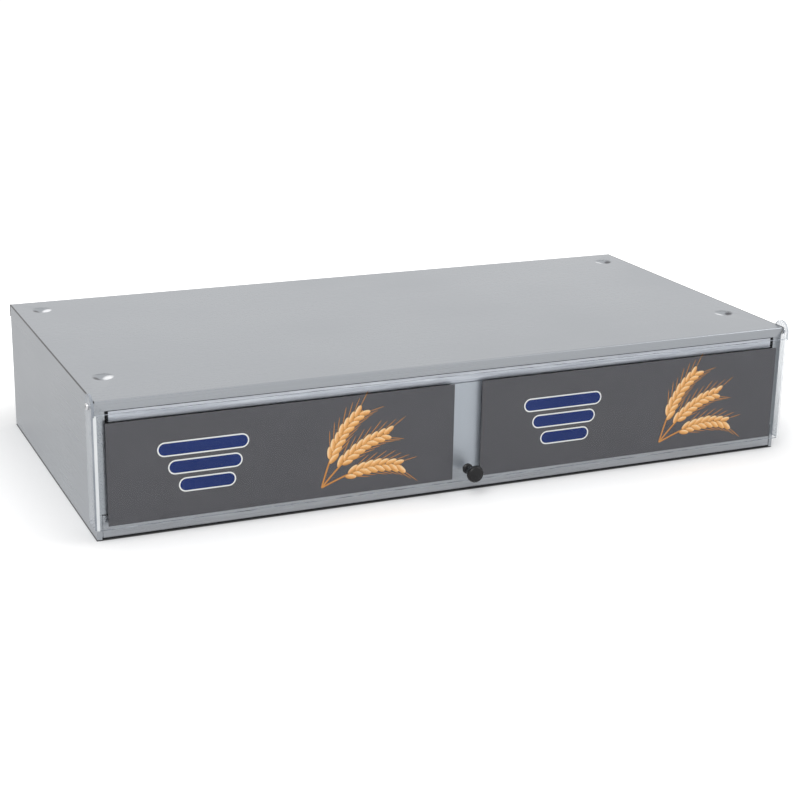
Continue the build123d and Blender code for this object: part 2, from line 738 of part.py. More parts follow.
def heater_deck():
    front = FACE_BACK + SKIN_GAP
    half = BASE_HALF - SHEET - SKIN_GAP
    with BuildPart() as deck:
        slab((-half, half), (front, INNER_BACK), (DECK_UNDER, RAIL_TOP))
        slab((-half, half), (front, front + SHEET), (BASE_TOP, RAIL_TOP))
        for side in (-1, 1):
            slab((side * half, side * (half - SHEET)), (front, INNER_BACK), (BASE_TOP, RAIL_TOP))
            edges = deck.edges().filter_by(Axis.Y).filter_by_position(
                Axis.Z, RAIL_TOP - NEAR, RAIL_TOP + NEAR)
            fillet(edges.sort_by(lambda e: side * e.center().X)[-1], radius=BEND)
    save(deck, "heater_deck")


def deck_insulation():
    half = BASE_HALF - INSULATION_INSET
    with BuildPart() as mat:
        slab((-half, half), (FACE_BACK + INSULATION_INSET, INNER_BACK - INSULATION_INSET),
             (BASE_TOP, BASE_TOP + INSULATION))
        fillet(mat.edges().filter_by(Axis.Z), radius=INSULATION_CORNER)
    save(mat, "deck_insulation")


def element_rows():
    """The y of each long run, from the front one back."""
    first = FRONT + ELEMENT_FRONT_INSET
    last = INNER_BACK - ELEMENT_REAR_INSET
    return [first + (last - first) * i / 3 for i in range(4)]


def heating_element():
    """One sheathed element in four long runs, with both ends behind the inner back."""
    rows = element_rows()
    left = -HALF + ELEMENT_SIDE_INSET
    inner_right = ELEMENT_LEAD_X[0] - ELEMENT_LEAD_SPACING
    end = INNER_BACK_REAR + ELEMENT_TAIL
    path = [
        (ELEMENT_LEAD_X[0], end),
        (ELEMENT_LEAD_X[0], rows[3]),
        (left, rows[3]),
        (left, rows[2]),
        (inner_right, rows[2]),
        (inner_right, rows[1]),
        (left, rows[1]),
        (left, rows[0]),
        (ELEMENT_LEAD_X[1], rows[0]),
        (ELEMENT_LEAD_X[1], end),
    ]
    with BuildPart() as element:
        tube_run([(x, y, ELEMENT_Z) for x, y in path], ELEMENT_RADIUS, ELEMENT_BEND)
        for x in ELEMENT_LEAD_X:
            rod((x, end - PAST, ELEMENT_Z), (0, 1, 0), ELEMENT_PIN_RADIUS, ELEMENT_PIN + PAST)
    save(element, "heating_element")


def saddle(x, y, radius):
    """A clip that holds a tube along X up against the underside of the deck."""
    outer = radius + ELEMENT_GAP + CLIP_SHEET
    inner = radius + ELEMENT_GAP
    ends = (x - CLIP_WIDTH / 2, x + CLIP_WIDTH / 2)
    centre = DECK_UNDER - ELEMENT_GAP - radius
    with BuildPart(mode=Mode.PRIVATE) as clip:
        rod((ends[0], y, centre), (1, 0, 0), outer, CLIP_WIDTH)
        slab(ends, (y - outer, y + outer), (centre, DECK_UNDER))
        slab(ends, (y - outer - CLIP_EAR, y + outer + CLIP_EAR), (DECK_UNDER - CLIP_SHEET, DECK_UNDER))
        rod((ends[0] - PAST, y, centre), (1, 0, 0), inner, CLIP_WIDTH + 2 * PAST, Mode.SUBTRACT)
        slab((ends[0] - PAST, ends[1] + PAST), (y - inner, y + inner), (centre, DECK_UNDER + PAST),
             Mode.SUBTRACT)
    return clip.part


def clips(name, places, radius):
    with BuildPart() as group:
        for x, y in places:
            add(saddle(x, y, radius))
    save(group, name)


def thermostat_bulb():
    y = INNER_BACK - BULB_INSET
    z = DECK_UNDER - ELEMENT_GAP - BULB_RADIUS
    turn_x = capillary_x()
    rise = CONTROL_Z - THERMOSTAT_SIZE / 2 - TUBE_DROP
    back = INNER_BACK_REAR + TUBE_BACK
    entry_x = DIAL_X - TUBE_ENTRY_SHIFT
    entry_y = REAR_FACE - THERMOSTAT_DEPTH / 2 - TUBE_ENTRY_SETBACK
    with BuildPart() as bulb:
        tube_run(
            [
                (BULB_X + BULB_LENGTH - BULB_OVERLAP, y, z),
                (turn_x, y, z),
                (turn_x, back, z),
                (turn_x, back, rise),
                (entry_x, back, rise),
                (entry_x, entry_y, rise),
                (entry_x, entry_y, CONTROL_Z - THERMOSTAT_SIZE / 2),
            ],
            CAPILLARY_RADIUS,
            CAPILLARY_BEND,
        )
        turned((BULB_X, y, z), (1, 0, 0), [(0, 0), (BULB_RADIUS - BULB_NOSE, 0), (BULB_RADIUS, BULB_NOSE),
               (BULB_RADIUS, BULB_LENGTH - BULB_TAIL), (BULB_NECK_RADIUS, BULB_LENGTH), (0, BULB_LENGTH)])
    save(bulb, "thermostat_bulb")


def tray_span(side):
    return sorted((side * TRAY_INNER, side * TRAY_OUTER))


def bun_tray(side, name):
    low, high = tray_span(side)
    top = TRAY_FLOOR + TRAY_HEIGHT
    with BuildPart() as tray:
        slab((low, high), (TRAY_FRONT, TRAY_BACK), (TRAY_FLOOR, top))
        fillet(tray.edges().filter_by(Axis.Z), radius=TRAY_BEND * 2)
        fillet(tray.faces().sort_by(Axis.Z)[0].edges(), radius=TRAY_BEND)
        offset(amount=-TRAY_SHEET, openings=tray.faces().sort_by(Axis.Z)[-1])
        # The front wall is lower, with a finger notch in its middle.
        slab((low - PAST, high + PAST), (TRAY_FRONT - PAST, TRAY_FRONT + TRAY_BEND * 2 + TRAY_WALL_STEP),
             (TRAY_FLOOR + TRAY_FRONT_HEIGHT, top + PAST), Mode.SUBTRACT)
        middle = (low + high) / 2
        with BuildSketch(Plane.XZ.offset(-TRAY_FRONT - NOTCH_CUT)) as notch:
            with Locations((middle, TRAY_FLOOR + TRAY_FRONT_HEIGHT)):
                SlotOverall(TRAY_NOTCH_WIDTH, TRAY_NOTCH_DEPTH * 2)
        extrude(notch.sketch, amount=2 * NOTCH_CUT, mode=Mode.SUBTRACT)
        across = int((high - low - TRAY_HOLE_PITCH) // TRAY_HOLE_PITCH)
        along = int((TRAY_BACK - TRAY_FRONT - TRAY_HOLE_PITCH) // TRAY_HOLE_PITCH)
        with BuildSketch(Plane.XY.offset(TRAY_FLOOR - PAST)) as holes:
            with Locations((middle, (TRAY_FRONT + TRAY_BACK) / 2)):
                with GridLocations(TRAY_HOLE_PITCH, TRAY_HOLE_PITCH, across, along):
                    Circle(TRAY_HOLE_RADIUS)
        extrude(holes.sketch, amount=TRAY_SHEET + 2 * PAST, mode=Mode.SUBTRACT)
    save(tray, name)


def tray_guides():
    ends = (FRONT + GUIDE_FRONT_INSET, INNER_BACK)
    inner = TRAY_INNER - GUIDE_GAP
    outer = TRAY_OUTER + GUIDE_GAP
    top = RAIL_TOP + GUIDE_HEIGHT
    with BuildPart() as guides:
        channel = [
            (-inner, RAIL_TOP), (inner, RAIL_TOP), (inner, top), (inner - SHEET, top),
            (inner - SHEET, RAIL_TOP + SHEET), (-inner + SHEET, RAIL_TOP + SHEET),
            (-inner + SHEET, top), (-inner, top),
        ]
        prism_y(channel, ends)
        for side in (-1, 1):
            angle = [
                (side * outer, RAIL_TOP), (side * (outer + GUIDE_FOOT), RAIL_TOP),
                (side * (outer + GUIDE_FOOT), RAIL_TOP + SHEET),
                (side * (outer + SHEET), RAIL_TOP + SHEET),
                (side * (outer + SHEET), top), (side * outer, top),
            ]
            prism_y(angle, ends)
    save(guides, "tray_guides")


def clear_door():
    """Front sheet and side flanges bent from one sheet, with round ears at the pivots."""
    outer, inner = DOOR_SIDE_OUTER, DOOR_SIDE_INNER
    with BuildPart() as door:
        with BuildSketch(Plane.XY.offset(DOOR_BOTTOM)) as plan:
            with BuildLine():
                Polyline(
                    (-outer, EAR_BACK),
                    (-outer, DOOR_OUTER),
                    (outer, DOOR_OUTER),
                    (outer, EAR_BACK),
                    (inner, EAR_BACK),
                    (inner, DOOR_INNER),
                    (-inner, DOOR_INNER),
                    (-inner, EAR_BACK),
                    close=True,
                )
            make_face()
            rows = plan.vertices().group_by(Axis.Y)
            fillet(rows[0], radius=DOOR_BEND)
            fillet(rows[1], radius=DOOR_BEND - DOOR_SHEET)
        extrude(amount=DOOR_TOP - DOOR_BOTTOM)
        for side in (-1, 1):
            with BuildSketch(Plane.YZ.offset(side * outer if side < 0 else inner)) as ear:
                with Locations((PIVOT_Y, PIVOT_HEIGHT)):
                    Circle(EAR_RADIUS)
                with Locations((PIVOT_Y, (DOOR_TOP - EAR_OVERLAP + PIVOT_HEIGHT) / 2)):
                    Rectangle(2 * EAR_RADIUS, PIVOT_HEIGHT - DOOR_TOP + EAR_OVERLAP)
            extrude(ear.sketch, amount=DOOR_SHEET)
            corner = door.edges().filter_by(Axis.X).sort_by(
                lambda e: e.center().Z - e.center().Y - abs(e.center().X - side * (outer + inner) / 2))
            fillet(corner[0], radius=FLANGE_CORNER)
            rod((side * (outer + PAST), PIVOT_Y, PIVOT_HEIGHT), (-side, 0, 0), PIN_RADIUS + PIN_RUN,
                DOOR_SHEET + 2 * PAST, Mode.SUBTRACT)
        rod((0, DOOR_OUTER - PAST, KNOB_HEIGHT), (0, 1, 0), KNOB_SCREW_RADIUS + SCREW_GAP,
            DOOR_SHEET + 2 * PAST, Mode.SUBTRACT)
    save(door, "clear_door")


def graphic_panel(side, name):
    with BuildPart() as panel:
        slab((side * GRAPHIC_INNER, side * GRAPHIC_OUTER), (DOOR_INNER, DOOR_INNER + GRAPHIC_SHEET),
             (GRAPHIC_BOTTOM, GRAPHIC_TOP))
    save(panel, name)


def pull_knob():
    neck = KNOB_LENGTH - KNOB_HEAD
    hole = KNOB_SCREW_RADIUS + SCREW_GAP
    hole_end = neck - KNOB_HOLE_COVER
    rim = KNOB_HEAD_RADIUS - KNOB_RIM
    shoulder = KNOB_HEAD_RADIUS - KNOB_SHOULDER
    ball = (rim**2 + KNOB_CROWN**2) / (2 * KNOB_CROWN)
    half_way = asin(rim / ball) / 2
    with BuildPart() as knob:
        plane = Plane(origin=(0, DOOR_OUTER, KNOB_HEIGHT), x_dir=(1, 0, 0), z_dir=(0, 0, -1))
        with BuildSketch(plane) as section:
            with BuildLine():
                Polyline((0, hole_end), (hole, hole_end), (hole, 0), (KNOB_BASE_RADIUS, 0),
                         (KNOB_BASE_RADIUS, KNOB_FOOT))
                ThreePointArc(
                    (KNOB_BASE_RADIUS, KNOB_FOOT),
                    (KNOB_FLARE_RADIUS, KNOB_FLARE),
                    (KNOB_WAIST_RADIUS, neck / 2),
                )
                Line((KNOB_WAIST_RADIUS, neck / 2), (KNOB_WAIST_RADIUS, neck - KNOB_FLARE))
                ThreePointArc(
                    (KNOB_WAIST_RADIUS, neck - KNOB_FLARE),
                    (KNOB_WAIST_RADIUS + KNOB_HEAD_FLARE, neck - KNOB_FOOT),
                    (shoulder, neck),
                )
                ThreePointArc(
                    (shoulder, neck),
                    (KNOB_HEAD_RADIUS, neck + KNOB_HEAD * 0.45),
                    (rim, KNOB_LENGTH - KNOB_CROWN),
                )
                ThreePointArc(
                    (rim, KNOB_LENGTH - KNOB_CROWN),
                    (ball * sin(half_way), KNOB_LENGTH - ball * (1 - cos(half_way))),
                    (0, KNOB_LENGTH),
                )
                Line((0, KNOB_LENGTH), (0, hole_end))
            make_face()
        revolve(section.sketch, axis=Axis((0, DOOR_OUTER, KNOB_HEIGHT), (0, -1, 0)))
    save(knob, "door_knob")


def knob_screw():
    seat = DOOR_INNER + KNOB_WASHER_SHEET
    bore = KNOB_SCREW_RADIUS + SCREW_GAP
    with BuildPart() as screw:
        turned((0, DOOR_INNER, KNOB_HEIGHT), (0, 1, 0), [(bore, 0), (KNOB_WASHER_RADIUS, 0),
               (KNOB_WASHER_RADIUS, KNOB_WASHER_SHEET), (bore, KNOB_WASHER_SHEET)])
        pan_screw((0, seat, KNOB_HEIGHT), (0, 1, 0), KNOB_SCREW_RADIUS,
                  length=DOOR_SHEET + KNOB_WASHER_SHEET + KNOB_SCREW_REACH)
    save(screw, "door_knob_screw")


def door_bumpers():
    start = FACE
    length = start - (DOOR_INNER + GRAPHIC_SHEET) - BUMPER_GAP
    with BuildPart() as bumpers:
        for side in (-1, 1):
            turned((side * (HALF - BUMPER_INSET), start, BUMPER_Z), (0, -1, 0), [(0, 0), (BUMPER_RADIUS, 0),
                   (BUMPER_RADIUS, length - BUMPER_NOSE), (BUMPER_RADIUS - BUMPER_TAPER, length),
                   (0, length)])
    save(bumpers, "door_bumpers")


def hinge_pins():
    """Shoulder screws: head outside the ear, shoulder through it, thread through the side."""
    shoulder = DOOR_SIDE_OUTER + PIN_END_PLAY - HALF
    with BuildPart() as pins:
        for side in (-1, 1):
            turned((side * HALF, PIVOT_Y, PIVOT_HEIGHT), (side, 0, 0), [
                (0, -PIN_THREAD), (PIN_THREAD_RADIUS, -PIN_THREAD), (PIN_THREAD_RADIUS, 0),
                (PIN_RADIUS, 0), (PIN_RADIUS, shoulder), (PIN_HEAD_RADIUS, shoulder),
                (PIN_HEAD_RADIUS, shoulder + PIN_HEAD - PIN_CHAMFER),
                (PIN_HEAD_RADIUS - PIN_CHAMFER, shoulder + PIN_HEAD), (0, shoulder + PIN_HEAD)])
    save(pins, "hinge_pins")


def hinge_washers():
    with BuildPart() as washers:
        for side in (-1, 1):
            start = (side * HALF, PIVOT_Y, PIVOT_HEIGHT)
            rod(start, (side, 0, 0), WASHER_RADIUS, WASHER_SHEET)
            rod((side * (HALF - PAST), PIVOT_Y, PIVOT_HEIGHT), (side, 0, 0), PIN_RADIUS + PIN_RUN,
                WASHER_SHEET + 2 * PAST, Mode.SUBTRACT)
    save(washers, "hinge_washers")


def hinge_nuts():
    with BuildPart() as nuts:
        for side in (-1, 1):
            start = (side * (HALF - SHEET), PIVOT_Y, PIVOT_HEIGHT)
            hexagon(start, (-side, 0, 0), NUT_FLATS, NUT_HEIGHT)
            rod((side * HALF, PIVOT_Y, PIVOT_HEIGHT), (-side, 0, 0), PIN_THREAD_RADIUS + SCREW_GAP / 3,
                NUT_HEIGHT + SHEET + PAST, Mode.SUBTRACT)
    save(nuts, "hinge_nuts")


def rubber_feet():
    with BuildPart() as feet:
        for x in (-HALF + FOOT_INSET, 0, HALF - FOOT_INSET):
            for y in (FRONT + FOOT_INSET, REAR - FOOT_INSET):
                turned((x, y, 0), (0, 0, 1), [(0, 0), (FOOT_RADIUS - FOOT_CHAMFER, 0),
                       (FOOT_RADIUS, FOOT_CHAMFER), (FOOT_RADIUS, FOOT_HEIGHT), (0, FOOT_HEIGHT)])
    save(feet, "rubber_feet")


def control_plate():
    with BuildPart() as plate:
        slab((CONTROL_X - PLATE_WIDTH / 2, CONTROL_X + PLATE_WIDTH / 2), (REAR_FACE, PLATE_OUTER),
             (CONTROL_Z - PLATE_HEIGHT / 2, CONTROL_Z + PLATE_HEIGHT / 2))
        fillet(plate.edges().filter_by(Axis.Y), radius=PLATE_CORNER)
        for x, z in plate_screw_places():
            rod((x, REAR_FACE - PAST, z), (0, 1, 0), SCREW_RADIUS + SCREW_GAP, THROUGH, Mode.SUBTRACT)
        for x, z in thermostat_screw_places():
            rod((x, REAR_FACE - PAST, z), (0, 1, 0), SCREW_RADIUS + SCREW_GAP, THROUGH, Mode.SUBTRACT)
        rod((DIAL_X, REAR_FACE - PAST, CONTROL_Z), (0, 1, 0), BUSH_RADIUS + SCREW_GAP, THROUGH,
            Mode.SUBTRACT)
        rod((PILOT_X, REAR_FACE - PAST, CONTROL_Z), (0, 1, 0), PILOT_RADIUS + SCREW_GAP, THROUGH,
            Mode.SUBTRACT)
        slot_x = SWITCH_BODY_WIDTH / 2 + SKIN_GAP
        slot_z = SWITCH_BODY_HEIGHT / 2 + SKIN_GAP
        slab((SWITCH_X - slot_x, SWITCH_X + slot_x), (REAR_FACE - PAST, REAR + PAST),
             (CONTROL_Z - slot_z, CONTROL_Z + slot_z), Mode.SUBTRACT)
    save(plate, "control_plate")


def thermostat_screw_places():
    return [(DIAL_X + side * DIAL_SCREW_SHIFT, CONTROL_Z) for side in (-1, 1)]


def thermostat_body():
    half = THERMOSTAT_SIZE / 2
    back = REAR_FACE - THERMOSTAT_DEPTH
    neck = REAR_FACE - THERMOSTAT_NECK
    with BuildPart() as body:
        slab((DIAL_X - half, DIAL_X + half), (back, neck), (CONTROL_Z - half, CONTROL_Z + half))
        fillet(body.edges().filter_by(Axis.Y), radius=THERMOSTAT_CORNER)
        slab((DIAL_X - half, DIAL_X + half), (neck, REAR_FACE),
             (CONTROL_Z - THERMOSTAT_NECK_HEIGHT / 2, CONTROL_Z + THERMOSTAT_NECK_HEIGHT / 2))
        for x, z in thermostat_screw_places():
            rod((x, REAR_FACE - THERMOSTAT_HOLE, z), (0, 1, 0), SCREW_RADIUS + SCREW_GAP,
                THERMOSTAT_HOLE + PAST, Mode.SUBTRACT)
        rod((DIAL_X, REAR_FACE - PAST, CONTROL_Z), (0, 1, 0), BUSH_RADIUS, SHEET + DIAL_SHEET + PAST)
        rod((DIAL_X, REAR_FACE - PAST, CONTROL_Z), (0, 1, 0), SHAFT_RADIUS, SHEET + SHAFT_LENGTH + PAST)
        for x in (DIAL_X - THERMOSTAT_TAB_SHIFT, DIAL_X + THERMOSTAT_TAB_SHIFT):
            slab((x - TAB_WIDTH / 2, x + TAB_WIDTH / 2), (back - TAB_LENGTH, back + PAST),
                 (CONTROL_Z + TAB_OFFSET - TAB_SHEET / 2, CONTROL_Z + TAB_OFFSET + TAB_SHEET / 2))
    save(body, "thermostat_body")


def thermostat_screws():
    with BuildPart() as screws:
        for x, z in thermostat_screw_places():
            pan_screw((x, PLATE_OUTER, z), (0, 1, 0), SCREW_RADIUS, DIAL_SCREW_HEAD_RADIUS,
                      DIAL_SCREW_HEAD)
    save(screws, "thermostat_screws")


def thermostat_dial():
    """A thin round scale plate that covers the fixing screws."""
    with BuildPart() as dial:
        rod((DIAL_X, PLATE_OUTER, CONTROL_Z), (0, 1, 0), DIAL_RADIUS, DIAL_SHEET)
        rod((DIAL_X, PLATE_OUTER - PAST, CONTROL_Z), (0, 1, 0), BUSH_RADIUS + SCREW_GAP,
            DIAL_SHEET + 2 * PAST, Mode.SUBTRACT)
        for x, z in thermostat_screw_places():
            rod((x, PLATE_OUTER - PAST, z), (0, 1, 0), DIAL_SCREW_HEAD_RADIUS + SCREW_GAP,
                DIAL_SHEET + 2 * PAST, Mode.SUBTRACT)
        chamfer(dial.faces().sort_by(Axis.Y)[-1].outer_wire().edges(), length=DIAL_CHAMFER)
    save(dial, "thermostat_dial")


def thermostat_knob():
    """A turning knob with a skirt, a gripping bar and a bore on the shaft."""
    start = PLATE_OUTER + DIAL_SHEET + DIAL_KNOB_GAP
    radius, height = DIAL_KNOB_RADIUS, DIAL_KNOB_HEIGHT
    with BuildPart() as knob:
        turned((DIAL_X, start, CONTROL_Z), (0, 1, 0), [(0, 0), (radius, 0), (radius, SKIRT_EDGE),
               (radius - SKIRT_TAPER, SKIRT_SHOULDER), (radius - 2 * SKIRT_TAPER, SKIRT_HEIGHT),
               (0, SKIRT_HEIGHT)])
        slab((DIAL_X - GRIP_WIDTH / 2, DIAL_X + GRIP_WIDTH / 2), (start + PAST, start + height),
             (CONTROL_Z - radius + GRIP_INSET, CONTROL_Z + radius - GRIP_INSET))
        fillet(knob.faces().sort_by(Axis.Y)[-1].edges(), radius=GRIP_EDGE)
        rod((DIAL_X, start - PAST, CONTROL_Z), (0, 1, 0), SHAFT_RADIUS + SHAFT_RUN,
            SHAFT_LENGTH - DIAL_SHEET - DIAL_KNOB_GAP + PAST + PIN_END_PLAY, Mode.SUBTRACT)
    save(knob, "thermostat_knob")


def power_switch_body():
    """Panel frame and hollow housing of the rocker switch, with its two rear tabs."""
    outer = PLATE_OUTER + SWITCH_BEZEL
    back = PLATE_OUTER - SWITCH_DEPTH
    well_w, well_h = ROCKER_WIDTH / 2 + ROCKER_GAP, ROCKER_HEIGHT / 2 + ROCKER_GAP
    with BuildPart() as body:
        slab((SWITCH_X - SWITCH_WIDTH / 2, SWITCH_X + SWITCH_WIDTH / 2), (PLATE_OUTER, outer),
             (CONTROL_Z - SWITCH_HEIGHT / 2, CONTROL_Z + SWITCH_HEIGHT / 2))
        fillet(body.edges().filter_by(Axis.Y), radius=SWITCH_CORNER)
        fillet(body.faces().sort_by(Axis.Y)[-1].edges(), radius=SWITCH_EDGE)
        slab((SWITCH_X - SWITCH_BODY_WIDTH / 2, SWITCH_X + SWITCH_BODY_WIDTH / 2), (back, PLATE_OUTER),
             (CONTROL_Z - SWITCH_BODY_HEIGHT / 2, CONTROL_Z + SWITCH_BODY_HEIGHT / 2))
        slab((SWITCH_X - well_w, SWITCH_X + well_w), (outer - SWITCH_WELL, outer + PAST),
             (CONTROL_Z - well_h, CONTROL_Z + well_h), Mode.SUBTRACT)
        rod((SWITCH_X - well_w - ROCKER_PIN_SOCKET, outer - ROCKER_PIVOT_DEPTH, CONTROL_Z), (1, 0, 0),
            ROCKER_PIN_RADIUS + PIN_RUN, 2 * (well_w + ROCKER_PIN_SOCKET), Mode.SUBTRACT)
        for z in (CONTROL_Z - TAB_OFFSET, CONTROL_Z + TAB_OFFSET):
            slab((SWITCH_X - TAB_WIDTH / 2, SWITCH_X + TAB_WIDTH / 2), (back - TAB_LENGTH, back + PAST),
                 (z - TAB_SHEET / 2, z + TAB_SHEET / 2))
    save(body, "power_switch_body")


def power_switch_rocker():
    """The rocker, tipped to its off side, on its own short pins."""
    outer = PLATE_OUTER + SWITCH_BEZEL
    half = ROCKER_HEIGHT / 2 - ROCKER_TIP
    end = half - ROCKER_GAP
    rise = half * sin(radians(ROCKER_TILT))
    pivot = (SWITCH_X, outer - ROCKER_PIVOT_DEPTH, CONTROL_Z)
    with BuildPart() as rocker:
        with BuildSketch(Plane.YZ.offset(SWITCH_X - ROCKER_WIDTH / 2)) as profile:
            with BuildLine():
                Polyline(
                    (-ROCKER_KEEL, -half * ROCKER_KEEL_SHARE),
                    (-ROCKER_KEEL, half * ROCKER_KEEL_SHARE),
                    (ROCKER_SIDE, end),
                    (ROCKER_END_FACE + rise, end),
                    (ROCKER_LOW_FACE, 0),
                    (ROCKER_END_FACE + rise, -end),
                    (ROCKER_SIDE, -end),
                    close=True,
                )
            make_face()
            fillet(profile.vertices().group_by(Axis.X)[-1], radius=ROCKER_EDGE)
        extrude(profile.sketch.moved(Location((0, pivot[1], pivot[2]))), amount=ROCKER_WIDTH)
        rod((SWITCH_X - ROCKER_WIDTH / 2 - ROCKER_PIN_REACH, pivot[1], pivot[2]), (1, 0, 0),
            ROCKER_PIN_RADIUS, ROCKER_WIDTH + 2 * ROCKER_PIN_REACH)
    tipped = rocker.part.rotate(Axis(pivot, (1, 0, 0)), ROCKER_TILT)
    tipped.label = "power_switch_rocker"
    export_step(tipped, "parts/power_switch_rocker.step")


def pilot_light():
    with BuildPart() as body:
        turned((PILOT_X, PLATE_OUTER, CONTROL_Z), (0, 1, 0), [
            (0, -PILOT_DEPTH), (PILOT_RADIUS, -PILOT_DEPTH), (PILOT_RADIUS, 0), (PILOT_RIM_RADIUS, 0),
            (PILOT_RIM_RADIUS, PILOT_RIM - PILOT_RIM_CHAMFER),
            (PILOT_RIM_RADIUS - PILOT_RIM_CHAMFER, PILOT_RIM), (0, PILOT_RIM)])
    save(body, "pilot_light_body")
    with BuildPart() as lens:
        turned((PILOT_X, PLATE_OUTER + PILOT_RIM, CONTROL_Z), (0, 1, 0), [
            (0, 0), (PILOT_LENS_RADIUS, 0), (PILOT_LENS_RADIUS, PILOT_LENS * 0.45),
            (PILOT_LENS_RADIUS * 0.87, PILOT_LENS * 0.72), (PILOT_LENS_RADIUS * 0.53, PILOT_LENS * 0.93),
            (0, PILOT_LENS)])
    save(lens, "pilot_light_lens")


def limit_tab_y():
    return INNER_BACK_REAR + LIMIT_DEPTH * LIMIT_TAB_SHARE


def high_limit_cutout():
    with BuildPart() as limit:
        turned((LIMIT_X, INNER_BACK_REAR, LIMIT_Z), (0, 1, 0), [
            (0, 0), (LIMIT_FLANGE_RADIUS, 0), (LIMIT_FLANGE_RADIUS, LIMIT_FLANGE),
            (LIMIT_RADIUS, LIMIT_FLANGE), (LIMIT_RADIUS, LIMIT_DEPTH), (0, LIMIT_DEPTH)])
        tab_y = limit_tab_y()
        slab((LIMIT_X - LIMIT_RADIUS - TAB_LENGTH, LIMIT_X + LIMIT_RADIUS + TAB_LENGTH),
             (tab_y - TAB_SHEET / 2, tab_y + TAB_SHEET / 2),
             (LIMIT_Z - TAB_WIDTH / 2, LIMIT_Z + TAB_WIDTH / 2))
    save(limit, "high_limit_cutout")


def block_top():
    return BASE_TOP + BLOCK_HEIGHT


def terminal_block():
    top = block_top()
    with BuildPart() as block:
        slab((BLOCK_X - BLOCK_WIDTH / 2, BLOCK_X + BLOCK_WIDTH / 2),
             (SERVICE_Y - BLOCK_DEPTH / 2, SERVICE_Y + BLOCK_DEPTH / 2), (BASE_TOP, top))
        fillet(block.edges().filter_by(Axis.Z), radius=BLOCK_CORNER)
        for x in (BLOCK_X - BLOCK_PITCH / 2, BLOCK_X + BLOCK_PITCH / 2):
            slab((x - BLOCK_SLOT_WIDTH / 2, x + BLOCK_SLOT_WIDTH / 2),
                 (SERVICE_Y - BLOCK_DEPTH, SERVICE_Y + BLOCK_DEPTH), (top - BLOCK_SLOT_DEPTH, top + PAST),
                 Mode.SUBTRACT)
    save(block, "terminal_block")


def earth_stud():
    low = BASE_TOP
    with BuildPart() as stud:
        rod((EARTH_X, SERVICE_Y, FOOT_HEIGHT - EARTH_START), (0, 0, 1), EARTH_RADIUS, EARTH_HEIGHT)
        rod((EARTH_X, SERVICE_Y, FOOT_HEIGHT - EARTH_HEAD), (0, 0, 1), EARTH_HEAD_RADIUS, EARTH_HEAD)
        rod((EARTH_X, SERVICE_Y, low), (0, 0, 1), EARTH_WASHER_RADIUS, EARTH_WASHER)
        hexagon((EARTH_X, SERVICE_Y, low + EARTH_WASHER), (0, 0, 1), EARTH_NUT_FLATS, EARTH_NUT)
    save(stud, "earth_stud")


def cord_gland():
    start = REAR_FACE
    with BuildPart() as gland:
        hexagon((GLAND_X, start, GLAND_Z), (0, 1, 0), GLAND_HEX, GLAND_HEX_LENGTH)
        turned((GLAND_X, start + GLAND_HEX_LENGTH, GLAND_Z), (0, 1, 0), [
            (0, -PAST), (GLAND_DOME_RADIUS, -PAST), (GLAND_DOME_RADIUS, GLAND_DOME * 0.55),
            (GLAND_DOME_RADIUS - GLAND_SHOULDER, GLAND_DOME * 0.8),
            (GLAND_BORE_RADIUS + GLAND_LIP, GLAND_DOME), (0, GLAND_DOME)])
        rod((GLAND_X, start + GLAND_OVERLAP, GLAND_Z), (0, -1, 0), GLAND_THREAD_RADIUS,
            GLAND_THREAD + GLAND_OVERLAP)
        rod((GLAND_X, start - GLAND_THREAD - PAST, GLAND_Z), (0, 1, 0), GLAND_BORE_RADIUS,
            GLAND_THREAD + GLAND_HEX_LENGTH + GLAND_DOME + 2 * PAST, Mode.SUBTRACT)
    save(gland, "cord_gland")
    with BuildPart() as nut:
        hexagon((GLAND_X, SHELL_REAR, GLAND_Z), (0, -1, 0), GLAND_HEX + GLAND_NUT_EXTRA, GLAND_NUT)
        rod((GLAND_X, SHELL_REAR + PAST, GLAND_Z), (0, -1, 0), GLAND_THREAD_RADIUS + SCREW_GAP / 3,
            GLAND_NUT + 2 * PAST, Mode.SUBTRACT)
    save(nut, "gland_locknut")


